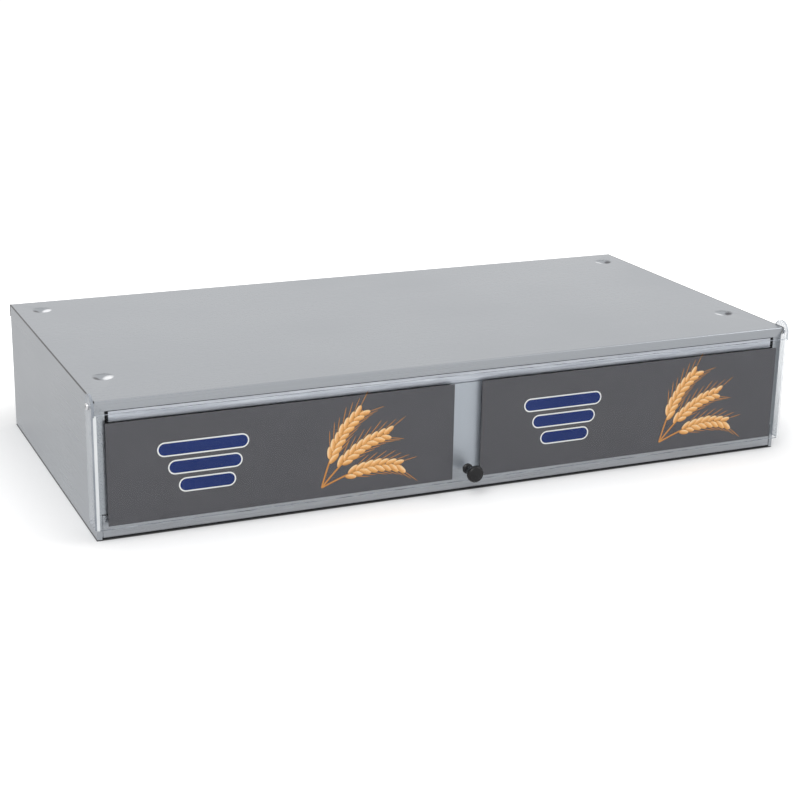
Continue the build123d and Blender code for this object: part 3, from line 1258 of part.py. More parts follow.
def wiring():
    """Wires between the terminal block, switch, thermostat, high limit and element."""
    y = SERVICE_Y
    top = block_top()
    near = limit_tab_y()
    tab = CONTROL_Z + TAB_OFFSET
    low_tab = CONTROL_Z - TAB_OFFSET
    switch_end = PLATE_OUTER - SWITCH_DEPTH - TAB_LENGTH
    thermostat_end = REAR_FACE - THERMOSTAT_DEPTH - TAB_LENGTH
    turn_y = thermostat_end - WIRE_REACH
    pin_top = ELEMENT_Z + ELEMENT_PIN_RADIUS + WIRE_PIN_GAP
    in_x = DIAL_X - THERMOSTAT_TAB_SHIFT
    out_x = DIAL_X + THERMOSTAT_TAB_SHIFT
    limit_tab = LIMIT_RADIUS + TAB_LENGTH
    to_switch = low_tab - WIRE_SWITCH_DROP
    to_lead = LIMIT_Z - WIRE_LEAD_DROP
    live = top + WIRE_LIVE_RISE
    earth = top + WIRE_EARTH_RISE
    routes = [
        [(BLOCK_X, y, top), (BLOCK_X, y, to_switch), (SWITCH_X, y, to_switch), (SWITCH_X, y, low_tab),
         (SWITCH_X, switch_end, low_tab)],
        [(SWITCH_X, switch_end, tab), (SWITCH_X, turn_y, tab), (in_x, turn_y, tab),
         (in_x, thermostat_end, tab)],
        [(out_x, thermostat_end, tab), (out_x, near, tab), (out_x, near, LIMIT_Z),
         (LIMIT_X - limit_tab, near, LIMIT_Z)],
        [(LIMIT_X + limit_tab, near, LIMIT_Z), (ELEMENT_LEAD_X[0], near, LIMIT_Z),
         (ELEMENT_LEAD_X[0], near, to_lead), (ELEMENT_LEAD_X[0], y, to_lead),
         (ELEMENT_LEAD_X[0], y, pin_top)],
        [(BLOCK_X + BLOCK_PITCH, y, top), (BLOCK_X + BLOCK_PITCH, y, live), (ELEMENT_LEAD_X[1], y, live),
         (ELEMENT_LEAD_X[1], y, pin_top)],
        [(BLOCK_X - BLOCK_PITCH, y, top), (BLOCK_X - BLOCK_PITCH, y, earth), (EARTH_X, y, earth),
         (EARTH_X, y, FOOT_HEIGHT - EARTH_START + EARTH_HEIGHT)],
    ]
    with BuildPart() as wires:
        for route in routes:
            tube_run(route, WIRE_RADIUS, WIRE_BEND)
    save(wires, "wiring_harness")


def rear_screws():
    with BuildPart() as screws:
        for x, z in rear_screw_places():
            seat = REAR if z > HEIGHT - REAR_LIP_HEIGHT else REAR_FACE
            pan_screw((x, seat, z), (0, 1, 0), SCREW_RADIUS)
    save(screws, "rear_panel_screws")
    with BuildPart() as plate_screws:
        for x, z in plate_screw_places():
            pan_screw((x, PLATE_OUTER, z), (0, 1, 0), SCREW_RADIUS)
    save(plate_screws, "control_plate_screws")


def main():
    top_plate()
    side_panel(-1, "left_side_panel")
    side_panel(1, "right_side_panel")
    base_pan()
    rear_panel()
    top_front_rail()
    centre_mullion()
    top_brace()
    inner_back_panel()
    heater_deck()
    deck_insulation()
    heating_element()
    rows = element_rows()
    clip_x = HALF - ELEMENT_CLIP_INSET
    clips("element_clips", [(x, y) for y in rows for x in (-clip_x, 0, clip_x)], ELEMENT_RADIUS)
    thermostat_bulb()
    bulb_y = INNER_BACK - BULB_INSET
    bulb_clip_x = (BULB_X + BULB_CLIP_INSET, BULB_X + BULB_LENGTH - BULB_CLIP_INSET)
    clips("bulb_clips", [(x, bulb_y) for x in bulb_clip_x], BULB_RADIUS)
    bun_tray(-1, "left_bun_tray")
    bun_tray(1, "right_bun_tray")
    tray_guides()
    clear_door()
    graphic_panel(-1, "left_graphic_panel")
    graphic_panel(1, "right_graphic_panel")
    pull_knob()
    knob_screw()
    door_bumpers()
    hinge_pins()
    hinge_washers()
    hinge_nuts()
    rubber_feet()
    control_plate()
    thermostat_body()
    thermostat_screws()
    thermostat_dial()
    thermostat_knob()
    power_switch_body()
    power_switch_rocker()
    pilot_light()
    high_limit_cutout()
    terminal_block()
    earth_stud()
    cord_gland()
    wiring()
    rear_screws()


main()
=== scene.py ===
"""Hot dog bun warmer: a low stainless cabinet with one clear flip-up door, in a plain studio."""

import math

import bmesh
import bpy
from mathutils import Matrix, Vector


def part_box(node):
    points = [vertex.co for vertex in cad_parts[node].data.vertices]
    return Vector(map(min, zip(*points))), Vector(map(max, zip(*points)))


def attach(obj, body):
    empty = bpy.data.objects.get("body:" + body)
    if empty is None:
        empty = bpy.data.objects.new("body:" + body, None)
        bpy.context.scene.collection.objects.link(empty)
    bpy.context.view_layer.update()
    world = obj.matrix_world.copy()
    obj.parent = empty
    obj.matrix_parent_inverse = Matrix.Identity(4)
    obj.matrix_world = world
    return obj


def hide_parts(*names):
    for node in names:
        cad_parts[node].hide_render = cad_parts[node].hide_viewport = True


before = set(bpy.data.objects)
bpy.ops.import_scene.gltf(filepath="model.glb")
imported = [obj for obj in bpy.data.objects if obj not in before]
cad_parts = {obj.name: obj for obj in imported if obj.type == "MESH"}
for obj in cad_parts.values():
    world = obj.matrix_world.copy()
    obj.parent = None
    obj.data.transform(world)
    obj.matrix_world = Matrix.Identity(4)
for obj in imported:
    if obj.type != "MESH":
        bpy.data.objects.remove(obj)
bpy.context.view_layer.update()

MM = 0.001
MERGE = 2e-6
SMOOTH_ANGLE = math.radians(28)

# Corners of the solids that the dressed pieces are fitted to
PRINT_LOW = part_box("right_graphic_panel")[0]
DIAL_LOW, DIAL_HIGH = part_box("thermostat_dial")
TURN_LOW, TURN_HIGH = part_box("thermostat_knob")
PLATE_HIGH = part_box("top_plate")[1]

# The rail's face ends here, and the door's cut top edge leaves an open joint under the lip; the trim's
# colour gets painted shade past both
RAIL_END = 433.1 * MM
JOINT_Z = 150.2 * MM
SHEET_TOP = 149.5 * MM
BEND_START = 448.8 * MM

# Camera, from lines fitted to the photograph
CAMERA_PLACE = (-0.8576, -1.9528, 0.7307)
CAMERA_AZIMUTH = math.radians(-24.0)
CAMERA_ELEVATION = math.radians(17.717)
CAMERA_ROLL = math.radians(1.095)
LENS = 76.56
SENSOR = 36.0


# Shader helpers


def add_node(tree, kind, settings=None, values=None):
    made = tree.nodes.new(kind)
    for key, value in (settings or {}).items():
        setattr(made, key, value)
    for key, value in (values or {}).items():
        made.inputs[key].default_value = value
    return made


def link(tree, start, end):
    tree.links.new(start, end)


def new_surface(name, **values):
    """A material and its main shader, with the values that are the same all over it."""
    material = bpy.data.materials.new(name)
    material.use_nodes = True
    tree = material.node_tree
    shader = tree.nodes["Principled BSDF"]
    for key, value in values.items():
        shader.inputs[key.replace("_", " ")].default_value = value
    return material, tree, shader


def noise(tree, scale, size=1.0, detail=3.0, roughness=0.55, bend=0.0):
    """Noise on object coordinates, stretched by one scale for each axis."""
    place = add_node(tree, "ShaderNodeTexCoord")
    stretch = add_node(tree, "ShaderNodeMapping", values={"Scale": scale})
    link(tree, place.outputs["Object"], stretch.inputs["Vector"])
    made = add_node(
        tree,
        "ShaderNodeTexNoise",
        values={"Scale": size, "Detail": detail, "Roughness": roughness, "Distortion": bend},
    )
    link(tree, stretch.outputs["Vector"], made.inputs["Vector"])
    return made.outputs["Fac"]


def math_node(tree, operation, first, second=None):
    made = add_node(tree, "ShaderNodeMath", {"operation": operation})
    for socket, value in zip(made.inputs, (first, second)):
        if isinstance(value, (int, float)):
            socket.default_value = value
        elif value is not None:
            link(tree, value, socket)
    return made.outputs[0]


def combine(tree, x=0.0, y=0.0, z=0.0):
    made = add_node(tree, "ShaderNodeCombineXYZ")
    for socket, value in zip(made.inputs, (x, y, z)):
        if isinstance(value, (int, float)):
            socket.default_value = value
        else:
            link(tree, value, socket)
    return made.outputs[0]


def spread(tree, value, low, high, start=0.3, end=0.7):
    made = add_node(
        tree,
        "ShaderNodeMapRange",
        values={"From Min": start, "From Max": end, "To Min": low, "To Max": high},
    )
    link(tree, value, made.inputs["Value"])
    return made.outputs["Result"]


def blend_colour(tree, value, first, second):
    made = add_node(tree, "ShaderNodeMix", {"data_type": "RGBA"})
    for socket, colour in ((made.inputs[6], first), (made.inputs[7], second)):
        if isinstance(colour, tuple):
            socket.default_value = (*colour, 1)
        else:
            link(tree, colour, socket)
    link(tree, value, made.inputs[0])
    return made.outputs[2]


def object_axes(tree):
    place = add_node(tree, "ShaderNodeTexCoord")
    parts = add_node(tree, "ShaderNodeSeparateXYZ")
    link(tree, place.outputs["Object"], parts.inputs[0])
    return parts.outputs


def beyond(tree, axis, start, end):
    """Goes from 0 to 1 as the distance from the middle along an object axis passes two values."""
    far = math_node(tree, "ABSOLUTE", object_axes(tree)[axis])
    return spread(tree, far, 0.0, 1.0, start, end)


def oval(tree, across, along, spot):
    """Is 1 in the middle of a soft oval and 0 outside it; the spot is its centre and half sizes."""
    centre, half_across, half_along = spot
    u = math_node(tree, "DIVIDE", math_node(tree, "SUBTRACT", across, centre), half_across)
    v = math_node(tree, "DIVIDE", along, half_along)
    squares = math_node(tree, "ADD", math_node(tree, "MULTIPLY", u, u), math_node(tree, "MULTIPLY", v, v))
    return spread(tree, squares, 1.0, 0.0, SPOT_CORE, 1.0)


def relief(tree, shader, height, strength, distance):
    made = add_node(tree, "ShaderNodeBump", values={"Strength": strength, "Distance": distance})
    link(tree, height, made.inputs["Height"])
    link(tree, made.outputs["Normal"], shader.inputs["Normal"])


def mottled(name, first, second, rough, grain, depth, **values):
    """A moulded, printed or cast finish: broad tone, fine tooth and uneven gloss."""
    material, tree, shader = new_surface(name, **values)
    broad = noise(tree, (1, 1, 1), 18.0, 3.0)
    fine = noise(tree, (1, 1, 1), grain, 4.0, 0.6)
    link(tree, blend_colour(tree, spread(tree, broad, 0, 1), first, second), shader.inputs["Base Color"])
    link(tree, spread(tree, fine, *rough), shader.inputs["Roughness"])
    relief(tree, shader, fine, 0.35, depth)
    return material


def dimple_shine(tree, colour):
    """Pressed dimples: a painted highlight on the inner half and painted shade on the outer half."""
    axes = object_axes(tree)
    across = math_node(tree, "SUBTRACT", math_node(tree, "ABSOLUTE", axes["X"]), DIMPLE_X)
    from_middle = math_node(tree, "ABSOLUTE", math_node(tree, "SUBTRACT", axes["Y"], DIMPLE_MIDDLE))
    along = math_node(tree, "SUBTRACT", from_middle, DIMPLE_SPAN / 2)
    colour = blend_colour(tree, oval(tree, across, along, DIMPLE_SHADE_SPOT), colour, PAINTED_DIMPLE_SHADE)
    return blend_colour(tree, oval(tree, across, along, DIMPLE_HIGHLIGHT_SPOT), colour, PAINTED_DIMPLE_HIGHLIGHT)


def brushed(name, stretch, light, dark, rough, shaded=(), depth=0.01 * MM, bend=0.0, dimples=False):
    """Brushed sheet: long fine lines along one way, broad wiped patches, painted shade over open joints
    and seams, and painted highlights and shade in pressed dimples where asked.
    """
    material, tree, shader = new_surface(name, Metallic=1.0)
    lines = noise(tree, stretch, 1.0, 5.0, 0.7, bend)
    wiped = noise(tree, (1, 1, 1), 4.0, 2.0)
    colour = blend_colour(tree, spread(tree, lines, 0, 1), dark, light)
    for axis, start, end in shaded:
        # Painted shade over open joints and seams, where shade falls between parts
        colour = blend_colour(tree, beyond(tree, axis, start, end), colour, PAINTED_JOINT_SHADE)
    if dimples:
        colour = dimple_shine(tree, colour)
    link(tree, colour, shader.inputs["Base Color"])
    wiped = spread(tree, wiped, -FINE_WIPE, FINE_WIPE)
    gloss = math_node(tree, "ADD", spread(tree, lines, *rough), wiped)
    link(tree, gloss, shader.inputs["Roughness"])
    relief(tree, shader, lines, 0.1, depth)
    return material


ALONG_X = (3, 900, 900)
ALONG_Y = (900, 3, 900)
ALONG_Z = (900, 900, 3)
WAVES_X = (14, 420, 420)
STEEL_LIGHT = (0.378, 0.396, 0.420)
STEEL_DARK = (0.352, 0.370, 0.394)
STEEL_GLOSS = (0.25, 0.33)
# Colour of the painted shade in open joints and seams
PAINTED_JOINT_SHADE = (0.02, 0.02, 0.022)
DIMPLE_X = 417 * MM
DIMPLE_MIDDLE = 21.5 * MM
DIMPLE_SPAN = 315 * MM
# Spots and colours of the painted highlight and painted shade in the top's dimples
DIMPLE_HIGHLIGHT_SPOT = (-6 * MM, 7 * MM, 8 * MM)
DIMPLE_SHADE_SPOT = (7.5 * MM, 5 * MM, 7 * MM)
SPOT_CORE = 0.25
PAINTED_DIMPLE_HIGHLIGHT = (0.97, 0.98, 1.0)
PAINTED_DIMPLE_SHADE = (0.10, 0.10, 0.11)
# Painted shade line along the top's side edges, over the seam with the side panels
EDGE_PAINTED_SHADE_START = PLATE_HIGH.x - 1.6 * MM
EDGE_PAINTED_SHADE_END = PLATE_HIGH.x - 1.1 * MM
CLEAR_TINT = (0.985, 0.99, 0.992, 1)
GRAZING_POWER = 4.0
FINE_WIPE = 0.03


def clear_plastic(name, pale, dim, faint, strong, rough, stretch=(25, 25, 25)):
    """Clear plastic: see-through face on, with gloss that grows towards grazing views."""
    material, tree, shader = new_surface(name, IOR=1.49)
    haze = noise(tree, stretch, 1.0, 4.0, 0.6)
    link(tree, blend_colour(tree, spread(tree, haze, 0, 1), dim, pale), shader.inputs["Base Color"])
    link(tree, spread(tree, haze, *rough), shader.inputs["Roughness"])
    view = add_node(tree, "ShaderNodeLayerWeight", values={"Blend": 0.5})
    grazing = math_node(tree, "POWER", view.outputs["Facing"], GRAZING_POWER)
    through = add_node(tree, "ShaderNodeBsdfTransparent", values={"Color": CLEAR_TINT})
    choose = add_node(tree, "ShaderNodeMixShader")
    link(tree, spread(tree, grazing, faint, strong, 0.0, 1.0), choose.inputs["Fac"])
    link(tree, through.outputs[0], choose.inputs[1])
    link(tree, shader.outputs[0], choose.inputs[2])
    link(tree, choose.outputs[0], tree.nodes["Material Output"].inputs["Surface"])
    return material


PRINT_GLOSS = (0.4, 0.5)
PRINT_TOOTH = 2500
PRINT_DEPTH = 0.002 * MM
GRAIN_SPECK = 0.08
GRAIN_DEEP = (0.60, 0.26, 0.07)
GRAIN_GOLD = (0.88, 0.46, 0.16)
GRAIN_PALE = (0.95, 0.70, 0.42)


def grain_print():
    """Golden print, paler on the side of each grain that its own tone value marks."""
    material, tree, shader = new_surface("golden print", Specular_IOR_Level=0.2)
    tone = add_node(tree, "ShaderNodeAttribute", {"attribute_name": "grain_tone"})
    speck = spread(tree, noise(tree, (1, 1, 1), 700, 3.0), -GRAIN_SPECK, GRAIN_SPECK)
    level = math_node(tree, "ADD", tone.outputs["Fac"], speck)
    body = blend_colour(tree, spread(tree, level, 0, 1, 0.1, 0.55), GRAIN_DEEP, GRAIN_GOLD)
    body = blend_colour(tree, spread(tree, level, 0, 1, 0.5, 0.9), body, GRAIN_PALE)
    link(tree, body, shader.inputs["Base Color"])
    link(tree, spread(tree, speck, *PRINT_GLOSS, -GRAIN_SPECK, GRAIN_SPECK), shader.inputs["Roughness"])
    return material


steel_x = brushed("brushed steel along x", ALONG_X, STEEL_LIGHT, STEEL_DARK, STEEL_GLOSS)
steel_y = brushed("brushed steel along y", ALONG_Y, STEEL_LIGHT, STEEL_DARK, STEEL_GLOSS)
# The top has a painted shade line along each side edge and painted highlights and shade in its dimples
steel_top = brushed(
    "brushed steel top", ALONG_X, STEEL_LIGHT, STEEL_DARK, STEEL_GLOSS,
    shaded=[("X", EDGE_PAINTED_SHADE_START, EDGE_PAINTED_SHADE_END)], dimples=True,
)
strip_steel = brushed(
    "bright brushed strip", ALONG_Z, (0.475, 0.503, 0.543), (0.437, 0.465, 0.505), (0.44, 0.5)
)
rail_steel = brushed(
    "rolled rail steel", WAVES_X, (0.40, 0.415, 0.44), (0.32, 0.334, 0.355), STEEL_GLOSS, bend=0.4
)
# Steel trim whose light wavy streaks are painted reflection, with painted shade at the rail's ends and
# along the open joint under the lip
painted_reflection_trim = brushed(
    "steel trim with painted reflection", WAVES_X, (0.72, 0.745, 0.79), (0.40, 0.42, 0.47), (0.4, 0.48), bend=0.6,
    shaded=[
        ("X", RAIL_END - 0.1 * MM, RAIL_END + 0.1 * MM),
        ("Z", JOINT_Z - 0.3 * MM, JOINT_Z + 0.3 * MM),
    ],
)
plated = brushed("bright plated steel", (400, 400, 400), (0.7, 0.7, 0.71), (0.58, 0.58, 0.6), (0.16, 0.3))
sheath = brushed("heat dulled sheath", (300, 300, 300), (0.3, 0.28, 0.26), (0.2, 0.18, 0.17), (0.35, 0.5))
copper = brushed("drawn copper", (250, 250, 250), (0.8, 0.42, 0.28), (0.66, 0.32, 0.2), (0.22, 0.36))
clear = clear_plastic("clear sheet", (0.90, 0.93, 0.95), (0.84, 0.88, 0.91), 0.005, 0.6, (0.05, 0.12))
clear_edge = clear_plastic(
    "clear cut edge", (0.62, 0.66, 0.72), (0.10, 0.11, 0.13), 0.7, 0.9, (0.2, 0.35), (30, 250, 250)
)
# Opaque tones that stand in for light on the clear door: a painted highlight on its bends, painted shade
# on its outer bends and ear rims, painted shade and reflection on its flanges
clear_painted_highlight = clear_plastic("clear bend", (0.97, 0.98, 0.99), (0.90, 0.93, 0.95), 0.7, 0.95, (0.1, 0.2))
clear_painted_shade = clear_plastic(
    "clear outer bend", (0.36, 0.39, 0.44), (0.26, 0.29, 0.33), 0.65, 0.8, (0.1, 0.2)
)
clear_flange_painted_shade = clear_plastic(
    "clear flange", (0.60, 0.63, 0.68), (0.52, 0.55, 0.60), 0.35, 0.6, (0.08, 0.16)
)
film_back = mottled(
    "pale film back", (0.66, 0.66, 0.67), (0.72, 0.72, 0.73), PRINT_GLOSS, PRINT_TOOTH, PRINT_DEPTH
)
grey_print = mottled(
    "dark grey print", (0.090, 0.088, 0.096), (0.096, 0.094, 0.103), (0.42, 0.48), 3000, PRINT_DEPTH,
    Specular_IOR_Level=0.2,
)
gold_print = grain_print()
brown_print = mottled(
    "brown print", (0.16, 0.08, 0.035), (0.20, 0.10, 0.045), PRINT_GLOSS, PRINT_TOOTH, PRINT_DEPTH
)
pale_print = mottled(
    "pale print", (0.80, 0.80, 0.78), (0.86, 0.86, 0.84), PRINT_GLOSS, PRINT_TOOTH, PRINT_DEPTH
)
navy_print = mottled(
    "navy print", (0.008, 0.024, 0.13), (0.011, 0.030, 0.155), PRINT_GLOSS, PRINT_TOOTH, PRINT_DEPTH,
    Specular_IOR_Level=0.2,
)
black_moulded = mottled(
    "black moulded plastic", (0.008, 0.008, 0.009), (0.014, 0.014, 0.015), (0.14, 0.22), 2200, 0.003 * MM,
    Specular_IOR_Level=0.28,
)
rubber = mottled("black rubber", (0.018, 0.018, 0.018), (0.03, 0.03, 0.03), (0.6, 0.8), 1200, 0.05 * MM)
nylon = mottled("natural nylon", (0.72, 0.72, 0.68), (0.8, 0.8, 0.77), (0.35, 0.45), 900, 0.02 * MM)
wool = mottled("mineral wool", (0.55, 0.5, 0.36), (0.75, 0.71, 0.58), (0.85, 1.0), 350, 1.2 * MM)
beige = mottled("beige moulding", (0.55, 0.48, 0.36), (0.64, 0.57, 0.44), (0.4, 0.55), 900, 0.03 * MM)
red_sleeve = mottled(
    "red wire sleeve", (0.3, 0.03, 0.025), (0.42, 0.05, 0.04), (0.3, 0.45), 900, 0.03 * MM
)
dial_black = mottled(
    "dial plate print", (0.02, 0.02, 0.022), (0.03, 0.03, 0.032), (0.3, 0.42), 1500, 0.01 * MM
)
amber = mottled("amber lens", (0.9, 0.28, 0.03), (0.95, 0.36, 0.05), (0.08, 0.16), 500, 0.02 * MM)


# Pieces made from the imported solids


def plain_piece(name, mesh, materials):
    piece = bpy.data.objects.new(name, mesh)
    bpy.context.scene.collection.objects.link(piece)
    mesh.materials.clear()
    for material in materials:
        mesh.materials.append(material)
    return piece


def settle(piece):
    """Turns live modifiers into plain mesh."""
    bpy.context.view_layer.update()
    graph = bpy.context.evaluated_depsgraph_get()
    mesh = bpy.data.meshes.new_from_object(piece.evaluated_get(graph))
    old = piece.data
    piece.modifiers.clear()
    piece.data = mesh
    bpy.data.meshes.remove(old)
    return piece


def dress(node, material, slot, body="cabinet"):
    """The solid's own form with its doubles merged and its bends shaded smooth."""
    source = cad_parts[node].data
    form = bmesh.new()
    form.from_mesh(source)
    bmesh.ops.remove_doubles(form, verts=form.verts, dist=MERGE)
    mesh = bpy.data.meshes.new(node)
    points = [v.co.copy() for v in form.verts]
    faces = [[v.index for v in f.verts] for f in form.faces]
    form.free()
    mesh.from_pydata(points, [], faces)
    for face in mesh.polygons:
        face.use_smooth = True
    mesh.set_sharp_from_angle(angle=SMOOTH_ANGLE)
    piece = plain_piece("dressed_" + node, mesh, [material])
    even = piece.modifiers.new("even", "WEIGHTED_NORMAL")
    even.keep_sharp = True
    settle(piece)
    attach(piece, body)
    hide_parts(node)
    return piece


dressing = [
    ("top_plate", steel_top, "stainless", "cabinet"),
    ("left_side_panel", steel_y, "stainless", "cabinet"),
    ("right_side_panel", steel_y, "stainless", "cabinet"),
    ("base_pan", rail_steel, "stainless", "cabinet"),
    ("rear_panel", steel_x, "stainless", "cabinet"),
    ("top_front_rail", painted_reflection_trim, "stainless", "cabinet"),
    ("centre_mullion", strip_steel, "stainless", "cabinet"),
    ("top_brace", steel_y, "stainless", "cabinet"),
    ("inner_back_panel", steel_x, "stainless", "cabinet"),
    ("heater_deck", steel_x, "stainless", "cabinet"),
    ("tray_guides", steel_y, "stainless", "cabinet"),
    ("control_plate", steel_x, "stainless", "cabinet"),
    ("left_bun_tray", steel_x, "stainless", "left_tray"),
    ("right_bun_tray", steel_x, "stainless", "right_tray"),
    ("deck_insulation", wool, "insulation", "cabinet"),
    ("heating_element", sheath, "heater_sheath", "cabinet"),
    ("element_clips", plated, "zinc_hardware", "cabinet"),
    ("bulb_clips", plated, "zinc_hardware", "cabinet"),
    ("hinge_nuts", plated, "zinc_hardware", "cabinet"),
    ("earth_stud", plated, "zinc_hardware", "cabinet"),
    ("door_knob_screw", plated, "zinc_hardware", "door"),
    ("thermostat_bulb", copper, "copper", "cabinet"),
    ("clear_door", clear, "clear_sheet", "door"),
    ("door_knob", black_moulded, "black_plastic", "door"),
    ("door_bumpers", rubber, "rubber", "cabinet"),
    ("hinge_washers", nylon, "white_nylon", "cabinet"),
    ("thermostat_body", beige, "beige_moulding", "cabinet"),
    ("high_limit_cutout", beige, "beige_moulding", "cabinet"),
    ("terminal_block", beige, "beige_moulding", "cabinet"),
    ("thermostat_dial", dial_black, "dial_print", "cabinet"),
    ("thermostat_knob", black_moulded, "black_plastic", "thermostat_control"),
    ("power_switch_body", black_moulded, "black_plastic", "cabinet"),
    ("power_switch_rocker", black_moulded, "black_plastic", "power_switch"),
    ("pilot_light_body", black_moulded, "black_plastic", "cabinet"),
    ("pilot_light_lens", amber, "amber_lens", "cabinet"),
    ("cord_gland", black_moulded, "black_plastic", "cabinet"),
    ("gland_locknut", black_moulded, "black_plastic", "cabinet"),
    ("wiring_harness", red_sleeve, "wire_cover", "cabinet"),
]
dressed = {row[0]: dress(*row[:3], body=row[3]) for row in dressing}


# Bends get a near-white painted highlight, outer bends and ear rims a grey painted shade, side flanges a
# grey painted shade and reflection
EDGE_FINISH, BEND_PAINTED_HIGHLIGHT, DIM_PAINTED_SHADE, FLANGE_PAINTED_SHADE = 1, 2, 3, 4
KNOB_HOLE_REACH = 10 * MM
FLAT_FRONT = 0.03
BRIGHT_BEND = 0.62
FLAT_SIDE = 0.97
CUT_TILT = 0.35
CUT_ACROSS = 0.5


def door_finishes(mesh):
    """Gives the clear door's cut edges their own finish, its bends a painted highlight, its outer bends
    and ear rims painted shade, and its side flanges painted shade and reflection.
    """
    for finish in (clear_edge, clear_painted_highlight, clear_painted_shade, clear_flange_painted_shade):
        mesh.materials.append(finish)
    for face in mesh.polygons:
        way, place = face.normal, face.center
        side = abs(place.x) > BEND_START - 1 * MM
        ear_rim = place.z > SHEET_TOP and abs(way.x) < CUT_ACROSS
        knob_hole = abs(place.x) < KNOB_HOLE_REACH and abs(way.y) < CUT_ACROSS
        if ear_rim:
            face.material_index = DIM_PAINTED_SHADE
        elif abs(way.z) > CUT_TILT or knob_hole:
            face.material_index = EDGE_FINISH
        elif side and way.y < 0 and FLAT_FRONT < abs(way.x) < BRIGHT_BEND:
            face.material_index = BEND_PAINTED_HIGHLIGHT
        elif side and way.y < 0 and BRIGHT_BEND < abs(way.x) < FLAT_SIDE:
            face.material_index = DIM_PAINTED_SHADE
        elif side and abs(way.x) > FLAT_SIDE:
            face.material_index = FLANGE_PAINTED_SHADE


door_finishes(dressed["clear_door"].data)


# Node trees for what repeats


def new_tree(name, sockets):
    """A geometry tree with named inputs, and the node that hands them out."""
    tree = bpy.data.node_groups.new(name, "GeometryNodeTree")
    face = tree.interface
    face.new_socket("Geometry", in_out="INPUT", socket_type="NodeSocketGeometry")
    for label, kind in sockets:
        face.new_socket(label, in_out="INPUT", socket_type="NodeSocket" + kind)
    face.new_socket("Geometry", in_out="OUTPUT", socket_type="NodeSocketGeometry")
    start = tree.nodes.new("NodeGroupInput")
    return tree, start


def moved(tree, shape, translation=None, rotation=None, scale=None):
    made = add_node(tree, "GeometryNodeTransform")
    link(tree, shape, made.inputs["Geometry"])
    for key, value in (("Translation", translation), ("Rotation", rotation), ("Scale", scale)):
        if value is None:
            continue
        if isinstance(value, tuple):
            made.inputs[key].default_value = value
        else:
            link(tree, value, made.inputs[key])
    return made.outputs["Geometry"]


def joined(tree, *shapes):
    made = add_node(tree, "GeometryNodeJoinGeometry")
    for shape in reversed(shapes):
        link(tree, shape, made.inputs[0])
    return made.outputs[0]


def finish_tree(tree, start, shape):
    """Realizes the instances, keeps edges over the smooth angle sharp and sets the material."""
    real = add_node(tree, "GeometryNodeRealizeInstances")
    link(tree, shape, real.inputs[0])
    smooth = add_node(tree, "GeometryNodeSetShadeSmooth", {"domain": "FACE"})
    link(tree, real.outputs[0], smooth.inputs["Geometry"])
    angle = add_node(tree, "GeometryNodeInputMeshEdgeAngle")
    over = add_node(tree, "FunctionNodeCompare", {"operation": "GREATER_THAN"})
    link(tree, angle.outputs[0], over.inputs[0])
    over.inputs[1].default_value = SMOOTH_ANGLE
    sharp = add_node(tree, "GeometryNodeSetShadeSmooth", {"domain": "EDGE"}, {"Shade Smooth": False})
    link(tree, smooth.outputs[0], sharp.inputs["Geometry"])
    link(tree, over.outputs[0], sharp.inputs["Selection"])
    paint = add_node(tree, "GeometryNodeSetMaterial")
    link(tree, sharp.outputs[0], paint.inputs["Geometry"])
    link(tree, start.outputs["Material"], paint.inputs["Material"])
    end = tree.nodes.new("NodeGroupOutput")
    link(tree, paint.outputs[0], end.inputs[0])


def grow(name, tree, places, values, material, body, edges=()):
    """Runs a tree on a few points, or lines between them, and keeps its result as a plain mesh."""
    seed = bpy.data.meshes.new(name)
    seed.from_pydata([Vector(p) for p in places], list(edges), [])
    piece = plain_piece(name, seed, [])
    run = piece.modifiers.new(name, "NODES")
    run.node_group = tree
    settings = dict(values, Material=material)
    for item in tree.interface.items_tree:
        if item.item_type == "SOCKET" and item.in_out == "INPUT" and item.name in settings:
            run[item.identifier] = settings[item.name]
    settle(piece)
    piece.data.name = name
    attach(piece, body)
    return piece


HEAD_STEPS = 14
DOME_END = 0.985
HEAD_SIDES = 32
SHANK_SIDES = 24
SHANK_OVERLAP = 0.2


